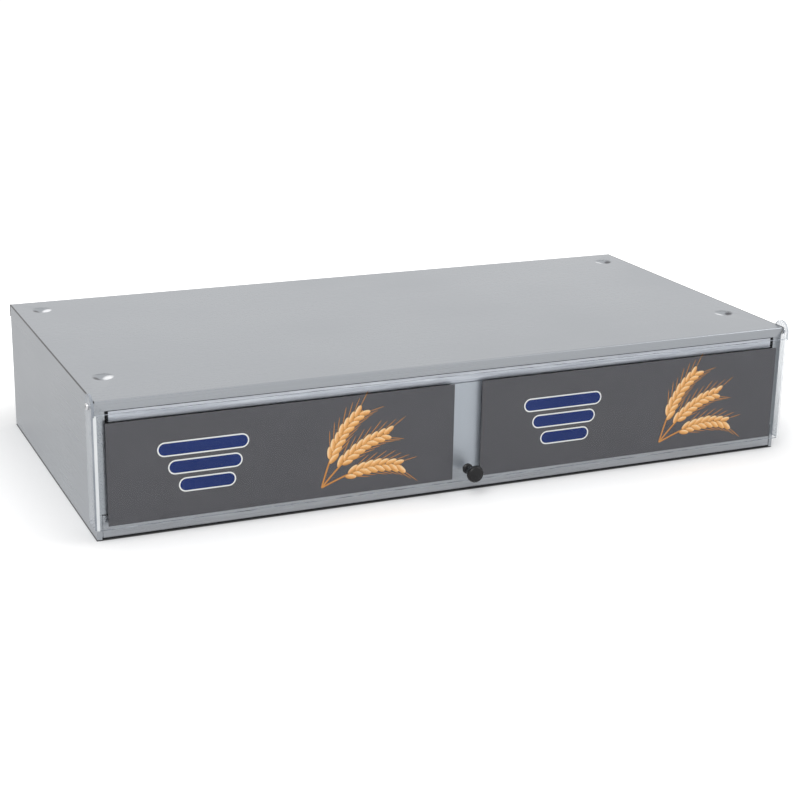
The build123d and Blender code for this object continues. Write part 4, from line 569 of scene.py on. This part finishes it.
def screw_tree():
    """Screws: a domed head with a crossed recess, turned at random, and a plain shank."""
    sockets = [
        ("Head radius", "Float"), ("Head height", "Float"), ("Roundness", "Float"),
        ("Recess length", "Float"), ("Recess width", "Float"), ("Recess depth", "Float"),
        ("Cross", "Float"), ("Shank radius", "Float"), ("Shank length", "Float"),
        ("Facing", "Vector"), ("Seed", "Int"), ("Material", "Material"),
    ]
    tree, start = new_tree("screws", sockets)
    get = start.outputs
    axis = add_node(tree, "GeometryNodeCurvePrimitiveLine")
    link(tree, combine(tree, z=get["Head height"]), axis.inputs["End"])
    steps = add_node(tree, "GeometryNodeResampleCurve", values={"Count": HEAD_STEPS})
    link(tree, axis.outputs[0], steps.inputs["Curve"])
    along = add_node(tree, "GeometryNodeSplineParameter")
    part = math_node(tree, "MULTIPLY", along.outputs["Factor"], DOME_END)
    fall = math_node(tree, "SUBTRACT", 1.0, math_node(tree, "POWER", part, get["Roundness"]))
    ratio = math_node(tree, "POWER", fall, math_node(tree, "DIVIDE", 1.0, get["Roundness"]))
    round_values = {"Resolution": HEAD_SIDES, "Radius": 1.0}
    ring = add_node(tree, "GeometryNodeCurvePrimitiveCircle", values=round_values)
    head = add_node(tree, "GeometryNodeCurveToMesh", values={"Fill Caps": True})
    link(tree, steps.outputs[0], head.inputs["Curve"])
    link(tree, ring.outputs[0], head.inputs["Profile Curve"])
    link(tree, math_node(tree, "MULTIPLY", ratio, get["Head radius"]), head.inputs["Scale"])
    height = combine(tree, z=get["Head height"])
    tall = math_node(tree, "MULTIPLY", get["Recess depth"], 2.0)
    first = add_node(tree, "GeometryNodeMeshCube")
    link(tree, combine(tree, get["Recess length"], get["Recess width"], tall), first.inputs["Size"])
    second = add_node(tree, "GeometryNodeMeshCube")
    across = math_node(tree, "MULTIPLY", get["Recess length"], get["Cross"])
    link(tree, combine(tree, get["Recess width"], across, tall), second.inputs["Size"])
    cut = add_node(tree, "GeometryNodeMeshBoolean", {"operation": "DIFFERENCE"})
    link(tree, head.outputs[0], cut.inputs["Mesh 1"])
    link(tree, moved(tree, first.outputs[0], height), cut.inputs["Mesh 2"])
    link(tree, moved(tree, second.outputs[0], height), cut.inputs["Mesh 2"])
    shank_axis = add_node(tree, "GeometryNodeCurvePrimitiveLine")
    down = math_node(tree, "MULTIPLY", get["Shank length"], -1.0)
    up = math_node(tree, "MULTIPLY", get["Head height"], SHANK_OVERLAP)
    link(tree, combine(tree, z=down), shank_axis.inputs["Start"])
    link(tree, combine(tree, z=up), shank_axis.inputs["End"])
    shank_ring = add_node(tree, "GeometryNodeCurvePrimitiveCircle", values={"Resolution": SHANK_SIDES})
    link(tree, get["Shank radius"], shank_ring.inputs["Radius"])
    shank = add_node(tree, "GeometryNodeCurveToMesh", values={"Fill Caps": True})
    link(tree, shank_axis.outputs[0], shank.inputs["Curve"])
    link(tree, shank_ring.outputs[0], shank.inputs["Profile Curve"])
    copies = add_node(tree, "GeometryNodeInstanceOnPoints")
    link(tree, get["Geometry"], copies.inputs["Points"])
    link(tree, joined(tree, cut.outputs[0], shank.outputs[0]), copies.inputs["Instance"])
    link(tree, get["Facing"], copies.inputs["Rotation"])
    spin = add_node(tree, "FunctionNodeRandomValue", {"data_type": "FLOAT"})
    spin.inputs[3].default_value = math.tau
    link(tree, get["Seed"], spin.inputs["Seed"])
    turn = add_node(tree, "GeometryNodeRotateInstances", values={"Local Space": True})
    link(tree, copies.outputs[0], turn.inputs["Instances"])
    link(tree, combine(tree, z=spin.outputs[1]), turn.inputs["Rotation"])
    finish_tree(tree, start, turn.outputs[0])
    return tree


def islands(node):
    """The lowest and highest corner of each separate form in a node."""
    form = bmesh.new()
    form.from_mesh(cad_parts[node].data)
    bmesh.ops.remove_doubles(form, verts=form.verts, dist=MERGE)
    left = set(form.verts)
    found = []
    while left:
        stack = [left.pop()]
        group = list(stack)
        while stack:
            for edge in stack.pop().link_edges:
                for vert in edge.verts:
                    if vert in left:
                        left.remove(vert)
                        group.append(vert)
                        stack.append(vert)
        low = Vector([min(v.co[i] for v in group) for i in range(3)])
        high = Vector([max(v.co[i] for v in group) for i in range(3)])
        found.append((low, high))
    form.free()
    return sorted(found, key=lambda pair: tuple(pair[0]))


screws = screw_tree()
REARWARD = (math.radians(-90), 0, 0)
LEFTWARD = (0, math.radians(-90), 0)
RIGHTWARD = (0, math.radians(90), 0)
DOWNWARD = (math.pi, 0, 0)
PAN_HEAD = 2.3 * MM
FLUSH_HEAD = 0.7 * MM
PAN_ROUNDNESS = 3.0
CROSS_LENGTH = 1.1
CROSS_WIDTH = 0.24
CROSS_DEPTH = 0.55
PAN_SHANK = 2.0 * MM


def pan_screws(node, head, seed):
    """Pan-head screws that face the rear, on the seats of the node's own screws."""
    boxes = islands(node)
    places = [((a.x + b.x) / 2, b.y - head, (a.z + b.z) / 2) for a, b in boxes]
    low, high = boxes[0]
    radius = (high.x - low.x) / 2
    sizes = {
        "Head radius": radius, "Head height": head, "Roundness": PAN_ROUNDNESS,
        "Recess length": radius * CROSS_LENGTH, "Recess width": radius * CROSS_WIDTH,
        "Recess depth": head * CROSS_DEPTH, "Cross": 1.0, "Shank radius": PAN_SHANK,
        "Shank length": high.y - low.y - head, "Facing": REARWARD, "Seed": seed,
    }
    piece = grow("screws_" + node, screws, places, sizes, plated, "cabinet")
    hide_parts(node)


pan_screws("rear_panel_screws", PAN_HEAD, 4)
pan_screws("control_plate_screws", PAN_HEAD, 9)
pan_screws("thermostat_screws", FLUSH_HEAD, 2)

PIVOT_HEAD = 2.8 * MM
PIVOT_SHOULDER = 4.0 * MM
PIVOT_RADIUS = 2.5 * MM
THREAD_RADIUS = 1.5 * MM
STRAIGHT = 14.0
FOOT_HOLLOW = 9 * MM


def pivot_screws():
    """Shoulder screws through the door's ears, one each side, with a thread at the inner end."""
    pieces = []
    for index, (low, high) in enumerate(islands("hinge_pins")):
        outward = -1 if low.x < 0 else 1
        outer = low.x if outward < 0 else high.x
        place = (outer - outward * PIVOT_HEAD, (low.y + high.y) / 2, (low.z + high.z) / 2)
        sizes = {
            "Head radius": (high.y - low.y) / 2, "Head height": PIVOT_HEAD, "Roundness": 4.0,
            "Recess length": 4.6 * MM, "Recess width": 1.0 * MM, "Recess depth": 1.3 * MM, "Cross": 1.0,
            "Shank radius": PIVOT_RADIUS, "Shank length": PIVOT_SHOULDER,
            "Facing": LEFTWARD if outward < 0 else RIGHTWARD, "Seed": 11 + index,
        }
        pieces.append(grow("pivot_screw_" + str(index), screws, [place], sizes, plated, "cabinet"))
        place = (place[0] - outward * PIVOT_SHOULDER, place[1], place[2])
        sizes.update({
            "Head radius": THREAD_RADIUS, "Head height": high.x - low.x - PIVOT_HEAD - PIVOT_SHOULDER,
            "Roundness": STRAIGHT, "Recess length": 0.8 * MM, "Recess width": 0.3 * MM,
            "Recess depth": 0.1 * MM, "Shank radius": 1.4 * MM, "Shank length": 0.5 * MM,
            "Facing": RIGHTWARD if outward < 0 else LEFTWARD,
        })
        pieces.append(grow("pivot_thread_" + str(index), screws, [place], sizes, plated, "cabinet"))
    for piece in pieces:
        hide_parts("hinge_pins")


pivot_screws()


def feet():
    """Rubber pads with a soft edge and a screw hollow."""
    boxes = islands("rubber_feet")
    places = [((a.x + b.x) / 2, (a.y + b.y) / 2, b.z) for a, b in boxes]
    low, high = boxes[0]
    sizes = {
        "Head radius": (high.x - low.x) / 2, "Head height": high.z - low.z, "Roundness": STRAIGHT,
        "Recess length": FOOT_HOLLOW, "Recess width": FOOT_HOLLOW, "Recess depth": 1.2 * MM, "Cross": 1.0,
        "Shank radius": 6 * MM, "Shank length": 0.05 * MM, "Facing": DOWNWARD, "Seed": 1,
    }
    piece = grow("rubber_pads", screws, places, sizes, rubber, "cabinet")
    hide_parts("rubber_feet")


feet()


# Printed panels

PRINT_FACE = PRINT_LOW.y + 0.2 * MM
LAYER = 0.05 * MM


def box_mesh(name, low, high):
    form = bmesh.new()
    bmesh.ops.create_cube(form, size=1.0)
    size = [b - a for a, b in zip(low, high)]
    middle = [(a + b) / 2 for a, b in zip(low, high)]
    form.transform(Matrix.Translation(middle) @ Matrix.Diagonal((*size, 1)))
    mesh = bpy.data.meshes.new(name)
    form.to_mesh(mesh)
    form.free()
    return mesh


def printed_panel(node):
    low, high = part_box(node)
    mesh = box_mesh("print_" + node, (low.x, PRINT_FACE, low.z), high)
    piece = plain_piece("print_" + node, mesh, [grey_print, film_back])
    for face in mesh.polygons:
        if face.normal.y > 0.5:
            face.material_index = 1
    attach(piece, "door")
    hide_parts(node)
    return low, high


def bar_outline(low, high, grow_by, steps=10):
    """A bar with round ends, as x and z points."""
    x0, z0 = low[0] - grow_by, low[1] - grow_by
    x1, z1 = high[0] + grow_by, high[1] + grow_by
    radius = (z1 - z0) / 2
    points = []
    for centre, begin in ((x1 - radius, -90), (x0 + radius, 90)):
        for i in range(steps + 1):
            angle = math.radians(begin + 180 * i / steps)
            points.append((centre + radius * math.cos(angle), z0 + radius + radius * math.sin(angle)))
    return points


def flat_shapes(name, outlines, front, back, material):
    """Thin printed shapes between two y values."""
    form = bmesh.new()
    for outline in outlines:
        ring = [form.verts.new((x, front, z)) for x, z in outline]
        face = form.faces.new(ring)
        rest = bmesh.ops.extrude_face_region(form, geom=[face])
        shifted = [v for v in rest["geom"] if isinstance(v, bmesh.types.BMVert)]
        bmesh.ops.translate(form, vec=(0, back - front, 0), verts=shifted)
    bmesh.ops.recalc_face_normals(form, faces=form.faces)
    mesh = bpy.data.meshes.new(name)
    form.to_mesh(mesh)
    form.free()
    piece = plain_piece(name, mesh, [material])
    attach(piece, "door")
    return piece


GRAIN_SIDES = 16
GRAIN_RINGS = 10
TONE_FALL = 0.9
TONE_ALONG = 0.25
AWN_START = 0.4
STEM_SIDES = 8
GRAIN_RANGE = (0.9, 1.1)


def ear_tree():
    """Ears of grain along curved stems, flattened to a print."""
    sockets = [
        ("Ear start", "Float"), ("Grains", "Int"), ("Grain length", "Float"), ("Grain width", "Float"),
        ("Side step", "Float"), ("Splay", "Float"), ("Awn length", "Float"), ("Awn width", "Float"),
        ("Stem", "Float"), ("Flatness", "Float"), ("Layer", "Float"), ("Seed", "Int"),
        ("Material", "Material"),
    ]
    tree, start = new_tree("grain_ears", sockets)
    get = start.outputs
    curve = add_node(tree, "GeometryNodeMeshToCurve")
    link(tree, get["Geometry"], curve.inputs["Mesh"])
    top = add_node(tree, "GeometryNodeTrimCurve", {"mode": "FACTOR"})
    link(tree, curve.outputs[0], top.inputs["Curve"])
    link(tree, get["Ear start"], top.inputs[2])
    points = add_node(tree, "GeometryNodeCurveToPoints", {"mode": "COUNT"})
    link(tree, top.outputs[0], points.inputs["Curve"])
    link(tree, get["Grains"], points.inputs["Count"])
    way = add_node(tree, "ShaderNodeSeparateXYZ")
    link(tree, points.outputs["Tangent"], way.inputs[0])
    index = add_node(tree, "GeometryNodeInputIndex")
    odd = math_node(tree, "MODULO", index.outputs[0], 2.0)
    side = math_node(tree, "SUBTRACT", math_node(tree, "MULTIPLY", odd, 2.0), 1.0)
    step = math_node(tree, "MULTIPLY", side, get["Side step"])
    shift = combine(
        tree,
        math_node(tree, "MULTIPLY", math_node(tree, "MULTIPLY", way.outputs[2], step), -1.0),
        0.0,
        math_node(tree, "MULTIPLY", way.outputs[0], step),
    )
    placed = add_node(tree, "GeometryNodeSetPosition")
    link(tree, points.outputs["Points"], placed.inputs["Geometry"])
    link(tree, shift, placed.inputs["Offset"])
    heading = math_node(tree, "ARCTAN2", way.outputs[2], way.outputs[0])
    splay = math_node(tree, "MULTIPLY", side, get["Splay"])
    angle = math_node(tree, "MULTIPLY", math_node(tree, "ADD", heading, splay), -1.0)
    ball = add_node(tree, "GeometryNodeMeshUVSphere", values={"Segments": GRAIN_SIDES})
    ball.inputs["Rings"].default_value = GRAIN_RINGS
    ball.inputs["Radius"].default_value = 0.5
    local = add_node(tree, "GeometryNodeInputPosition")
    spot = add_node(tree, "ShaderNodeSeparateXYZ")
    link(tree, local.outputs[0], spot.inputs[0])
    lift = math_node(tree, "MULTIPLY", spot.outputs[2], TONE_FALL)
    tone = math_node(tree, "ADD", math_node(tree, "MULTIPLY", spot.outputs[0], TONE_ALONG), lift)
    toned = add_node(tree, "GeometryNodeStoreNamedAttribute", values={"Name": "grain_tone"})
    link(tree, ball.outputs[0], toned.inputs["Geometry"])
    link(tree, math_node(tree, "ADD", tone, 0.5), toned.inputs["Value"])
    width = get["Grain width"]
    grain = moved(tree, toned.outputs[0], scale=combine(tree, get["Grain length"], width, width))
    reach = math_node(tree, "MULTIPLY", get["Grain length"], AWN_START)
    reach = math_node(tree, "ADD", reach, math_node(tree, "MULTIPLY", get["Awn length"], 0.5))
    thick = get["Awn width"]
    awn_size = combine(tree, get["Awn length"], thick, thick)
    awn = moved(tree, ball.outputs[0], combine(tree, reach), scale=awn_size)
    grain = joined(tree, grain, awn)
    copies = add_node(tree, "GeometryNodeInstanceOnPoints")
    link(tree, placed.outputs[0], copies.inputs["Points"])
    link(tree, grain, copies.inputs["Instance"])
    link(tree, combine(tree, y=angle), copies.inputs["Rotation"])
    size = add_node(tree, "FunctionNodeRandomValue", {"data_type": "FLOAT"})
    size.inputs[2].default_value, size.inputs[3].default_value = GRAIN_RANGE
    link(tree, get["Seed"], size.inputs["Seed"])
    link(tree, size.outputs[1], copies.inputs["Scale"])
    ring = add_node(tree, "GeometryNodeCurvePrimitiveCircle", values={"Resolution": STEM_SIDES})
    link(tree, get["Stem"], ring.inputs["Radius"])
    stem = add_node(tree, "GeometryNodeCurveToMesh", values={"Fill Caps": True})
    link(tree, curve.outputs[0], stem.inputs["Curve"])
    link(tree, ring.outputs[0], stem.inputs["Profile Curve"])
    flat = add_node(tree, "GeometryNodeRealizeInstances")
    link(tree, joined(tree, copies.outputs[0], stem.outputs[0]), flat.inputs[0])
    squash = combine(tree, 1.0, get["Flatness"], 1.0)
    pressed = moved(tree, flat.outputs[0], combine(tree, y=get["Layer"]), scale=squash)
    finish_tree(tree, start, pressed)
    return tree


ears = ear_tree()
EAR_STEPS = 14
EAR_LEANS = (74, 48, 22)
EAR_DROOP = 14
EAR_LENGTH = 102 * MM
EAR_ROOT = (0.60, 0.10)
GRAIN_LENGTH = 15 * MM
GRAIN_WIDTH = 6.2 * MM
EDGE_LINE = 0.9 * MM
EAR_START = 0.36
EAR_GRAINS = 15
GRAIN_STEP = 3.8 * MM
GRAIN_SPLAY = math.radians(24)
AWN_LENGTH = 20 * MM
AWN_WIDTH = 0.7 * MM
STEM_RADIUS = 0.9 * MM
BAR_HEIGHT = 14 * MM
BAR_PITCH = 22 * MM
BAR_STEP = 12 * MM
BAR_START = 0.14
BAR_LENGTHS = (104 * MM, 84 * MM, 64 * MM)
OUTLINE = 1.6 * MM


def stems(root_x, root_z):
    """Arched stems that fan out of one root, as points and edges."""
    points = []
    edges = []
    for lean in EAR_LEANS:
        first = len(points)
        for i in range(EAR_STEPS):
            part = i / (EAR_STEPS - 1)
            angle = math.radians(lean - EAR_DROOP * part * part)
            reach = EAR_LENGTH * part
            points.append((root_x + reach * math.cos(angle), 0.0, root_z + reach * math.sin(angle)))
        edges += [(first + i, first + i + 1) for i in range(EAR_STEPS - 1)]
    return points, edges


def artwork(word, low, high):
    """A generic grain motif beside three banded bars, on one panel."""
    wide = high.x - low.x
    tall = high.z - low.z
    points, edges = stems(low.x + wide * EAR_ROOT[0], low.z + tall * EAR_ROOT[1])
    for kind, material, extra, layer in (
        ("grain_edge", brown_print, EDGE_LINE, PRINT_FACE - 0.3 * LAYER),
        ("grain", gold_print, 0.0, PRINT_FACE - 1.2 * LAYER),
    ):
        sizes = {
            "Ear start": EAR_START, "Grains": EAR_GRAINS, "Grain length": GRAIN_LENGTH + extra,
            "Grain width": GRAIN_WIDTH + extra, "Side step": GRAIN_STEP, "Splay": GRAIN_SPLAY,
            "Awn length": AWN_LENGTH, "Awn width": AWN_WIDTH + extra / 2, "Stem": STEM_RADIUS + extra / 2,
            "Flatness": LAYER / (GRAIN_WIDTH + extra), "Layer": layer, "Seed": 3,
        }
        grow(word + "_" + kind, ears, points, sizes, material, "door", edges)
    left = low.x + wide * BAR_START
    middle = low.z + tall * 0.5
    bars = []
    for i, length in enumerate(BAR_LENGTHS):
        centre = middle + (1 - i) * BAR_PITCH
        start = left + i * BAR_STEP
        bars.append(((start, centre - BAR_HEIGHT / 2), (start + length, centre + BAR_HEIGHT / 2)))
    outlines = [bar_outline(a, b, OUTLINE) for a, b in bars]
    flat_shapes(word + "_band_edges", outlines, PRINT_FACE - LAYER, PRINT_FACE - 0.1 * LAYER, pale_print)
    outlines = [bar_outline(a, b, 0.0) for a, b in bars]
    flat_shapes(word + "_bands", outlines, PRINT_FACE - 2 * LAYER, PRINT_FACE - 1.1 * LAYER, navy_print)


for word, node in (("left", "left_graphic_panel"), ("right", "right_graphic_panel")):
    artwork(word, *printed_panel(node))


# Marks on the controls


def lettering(name, text, size, place, depth, material, body):
    """Flat letters that face the rear, read from behind the cabinet."""
    line = bpy.data.curves.new(name, "FONT")
    line.body = text
    line.size = size
    line.align_x = "CENTER"
    line.align_y = "CENTER"
    line.extrude = depth
    draft = bpy.data.objects.new(name, line)
    bpy.context.scene.collection.objects.link(draft)
    bpy.context.view_layer.update()
    graph = bpy.context.evaluated_depsgraph_get()
    mesh = bpy.data.meshes.new_from_object(draft.evaluated_get(graph))
    bpy.data.objects.remove(draft)
    turn = Matrix.Rotation(math.pi, 4, "Z") @ Matrix.Rotation(math.radians(90), 4, "X")
    mesh.transform(Matrix.Translation(place) @ turn)
    piece = plain_piece(name, mesh, [material])
    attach(piece, body)
    return piece


def tick_tree():
    """Short marks round an arc, facing the rear."""
    sockets = [
        ("Count", "Int"), ("Radius", "Float"), ("First angle", "Float"), ("Sweep", "Float"),
        ("Length", "Float"), ("Width", "Float"), ("Depth", "Float"), ("Material", "Material"),
    ]
    tree, start = new_tree("dial_marks", sockets)
    get = start.outputs
    row = add_node(tree, "GeometryNodePoints")
    link(tree, get["Count"], row.inputs["Count"])
    index = add_node(tree, "GeometryNodeInputIndex")
    last = math_node(tree, "SUBTRACT", get["Count"], 1.0)
    part = math_node(tree, "DIVIDE", index.outputs[0], last)
    angle = math_node(tree, "ADD", get["First angle"], math_node(tree, "MULTIPLY", part, get["Sweep"]))
    x = math_node(tree, "MULTIPLY", math_node(tree, "COSINE", angle), get["Radius"])
    z = math_node(tree, "MULTIPLY", math_node(tree, "SINE", angle), get["Radius"])
    link(tree, combine(tree, x, 0.0, z), row.inputs["Position"])
    mark = add_node(tree, "GeometryNodeMeshCube")
    link(tree, combine(tree, get["Length"], get["Depth"], get["Width"]), mark.inputs["Size"])
    copies = add_node(tree, "GeometryNodeInstanceOnPoints")
    link(tree, row.outputs[0], copies.inputs["Points"])
    link(tree, mark.outputs[0], copies.inputs["Instance"])
    link(tree, combine(tree, y=math_node(tree, "MULTIPLY", angle, -1.0)), copies.inputs["Rotation"])
    sets = add_node(tree, "GeometryNodeInstanceOnPoints")
    link(tree, get["Geometry"], sets.inputs["Points"])
    link(tree, copies.outputs[0], sets.inputs["Instance"])
    finish_tree(tree, start, sets.outputs[0])
    return tree


marks = tick_tree()
DIAL_CENTRE = (DIAL_LOW + DIAL_HIGH) / 2
DIAL_RADIUS = (DIAL_HIGH.x - DIAL_LOW.x) / 2
DIAL_STEPS = 9
DIAL_START = math.radians(225)
DIAL_SWEEP = math.radians(-270)
MARK = 0.06 * MM
NUMBER_SIZE = 5.2 * MM
NUMBER_INSET = 4.0 * MM


def dial_print():
    face = DIAL_HIGH.y + MARK / 2
    centre = (DIAL_CENTRE.x, face, DIAL_CENTRE.z)
    for name, count, radius, length, width in (
        ("dial_marks", DIAL_STEPS, DIAL_RADIUS - 8.2 * MM, 2.2 * MM, 0.6 * MM),
        ("dial_fine_marks", 4 * (DIAL_STEPS - 1) + 1, DIAL_RADIUS - 7.8 * MM, 1.2 * MM, 0.25 * MM),
    ):
        sizes = {
            "Count": count, "Radius": radius, "First angle": math.pi - DIAL_START, "Sweep": -DIAL_SWEEP,
            "Length": length, "Width": width, "Depth": MARK,
        }
        grow(name, marks, [centre], sizes, pale_print, "cabinet")
    for i in range(DIAL_STEPS):
        angle = DIAL_START + DIAL_SWEEP * i / (DIAL_STEPS - 1)
        radius = DIAL_RADIUS - NUMBER_INSET
        x = DIAL_CENTRE.x - radius * math.cos(angle)
        z = DIAL_CENTRE.z + radius * math.sin(angle)
        name = "dial_number_" + str(i)
        lettering(name, str(i), NUMBER_SIZE, (x, face, z), MARK / 2, pale_print, "cabinet")


dial_print()


def pointer():
    """The white line along the end of the turning knob's bar."""
    middle = (TURN_LOW + TURN_HIGH) / 2
    low = (middle.x - 0.7 * MM, TURN_HIGH.y - MARK, middle.z + 2 * MM)
    high = (middle.x + 0.7 * MM, TURN_HIGH.y, TURN_HIGH.z - 5 * MM)
    piece = plain_piece("knob_pointer", box_mesh("knob_pointer", low, high), [pale_print])
    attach(piece, "thermostat_control")


pointer()


# Studio


FLOOR_TONE = 0.8
FLOOR_SEEN = 1.7
FLOOR_PAINTED_SHADOW = 0.96
FLOOR_PAINTED_UNDER_SHADE = 0.15
SHADOW_REACH = 0.24
FRONT_EDGE = PLATE_HIGH.y - 4.5 * MM
FLOOR_GLOSS = 0.95
FLOOR_HALF = 20.0
SKY_LIGHT = 0.62
LAMP_AIM = (0, 0, 0.1)


def stage_floor():
    """A pale floor that shows white to the camera and keeps the shadow; its seen tone is also painted
    darker close to the cabinet, as painted shadow, and drops to a painted dark patch right under it.
    """
    half = FLOOR_HALF
    mesh = bpy.data.meshes.new("floor")
    corners = [(-half, -half, 0), (half, -half, 0), (half, half, 0), (-half, half, 0)]
    mesh.from_pydata(corners, [], [(0, 1, 2, 3)])
    material = bpy.data.materials.new("studio floor")
    material.use_nodes = True
    tree = material.node_tree
    tree.nodes.remove(tree.nodes["Principled BSDF"])
    face = add_node(tree, "ShaderNodeBsdfDiffuse")
    path = add_node(tree, "ShaderNodeLightPath")
    seen = math_node(tree, "MAXIMUM", path.outputs["Is Camera Ray"], path.outputs["Is Transmission Ray"])
    axes = object_axes(tree)
    outside = []
    for axis, edge in (("X", PLATE_HIGH.x), ("Y", FRONT_EDGE)):
        past = math_node(tree, "SUBTRACT", math_node(tree, "ABSOLUTE", axes[axis]), edge)
        past = math_node(tree, "MAXIMUM", past, 0.0)
        outside.append(math_node(tree, "MULTIPLY", past, past))
    away = math_node(tree, "SQRT", math_node(tree, "ADD", *outside))
    # Painted shadow: the tone the camera sees falls towards the cabinet's footprint and drops to a dark
    # patch under it
    bright = spread(tree, away, FLOOR_PAINTED_SHADOW, FLOOR_SEEN, 0.0, SHADOW_REACH)
    under = spread(tree, away, FLOOR_PAINTED_UNDER_SHADE, 1.0, 0.0, 1 * MM)
    bright = math_node(tree, "MULTIPLY", bright, under)
    tone = math_node(tree, "MULTIPLY", seen, math_node(tree, "SUBTRACT", bright, FLOOR_TONE))
    tone = math_node(tree, "ADD", tone, FLOOR_TONE)
    gloss = math_node(tree, "MULTIPLY", path.outputs["Is Glossy Ray"], FLOOR_GLOSS - FLOOR_TONE)
    tone = math_node(tree, "ADD", tone, gloss)
    link(tree, combine(tree, tone, tone, tone), face.inputs["Color"])
    link(tree, face.outputs[0], tree.nodes["Material Output"].inputs["Surface"])
    floor = plain_piece("floor", mesh, [material])


def studio_world():
    world = bpy.data.worlds.new("studio")
    bpy.context.scene.world = world
    world.use_nodes = True
    tree = world.node_tree
    back = tree.nodes["Background"]
    back.inputs["Color"].default_value = (1, 1, 1, 1)
    path = add_node(tree, "ShaderNodeLightPath")
    gloss = math_node(tree, "MAXIMUM", path.outputs["Is Glossy Ray"], path.outputs["Is Transmission Ray"])
    seen = math_node(tree, "MAXIMUM", path.outputs["Is Camera Ray"], gloss)
    lift = math_node(tree, "MULTIPLY", seen, 1.0 - SKY_LIGHT)
    link(tree, math_node(tree, "ADD", lift, SKY_LIGHT), back.inputs["Strength"])


def soft_lamp(name, place, aim, size, power):
    data = bpy.data.lights.new(name, "AREA")
    data.shape = "RECTANGLE"
    data.size, data.size_y = size
    data.energy = power
    lamp = bpy.data.objects.new(name, data)
    bpy.context.scene.collection.objects.link(lamp)
    lamp.location = place
    lamp.rotation_euler = (Vector(aim) - Vector(place)).to_track_quat("-Z", "Y").to_euler()


def photo_camera():
    data = bpy.data.cameras.new("camera")
    data.lens = LENS
    data.sensor_width = SENSOR
    data.clip_end = 100
    back = Vector((
        math.sin(CAMERA_AZIMUTH) * math.cos(CAMERA_ELEVATION),
        -math.cos(CAMERA_AZIMUTH) * math.cos(CAMERA_ELEVATION),
        math.sin(CAMERA_ELEVATION),
    ))
    level = Vector((0, 0, 1)).cross(back).normalized()
    up = back.cross(level)
    side = math.cos(CAMERA_ROLL) * level + math.sin(CAMERA_ROLL) * up
    top = -math.sin(CAMERA_ROLL) * level + math.cos(CAMERA_ROLL) * up
    camera = bpy.data.objects.new("camera", data)
    bpy.context.scene.collection.objects.link(camera)
    turn = Matrix((side, top, back)).transposed().to_4x4()
    camera.matrix_world = Matrix.Translation(CAMERA_PLACE) @ turn
    bpy.context.scene.camera = camera


stage_floor()
studio_world()
soft_lamp("key", (-1.6, -2.2, 2.6), LAMP_AIM, (2.2, 2.2), 60)
soft_lamp("fill", (2.6, -1.4, 1.8), LAMP_AIM, (1.6, 1.6), 25)
photo_camera()
bpy.context.scene.view_settings.view_transform = "Standard"
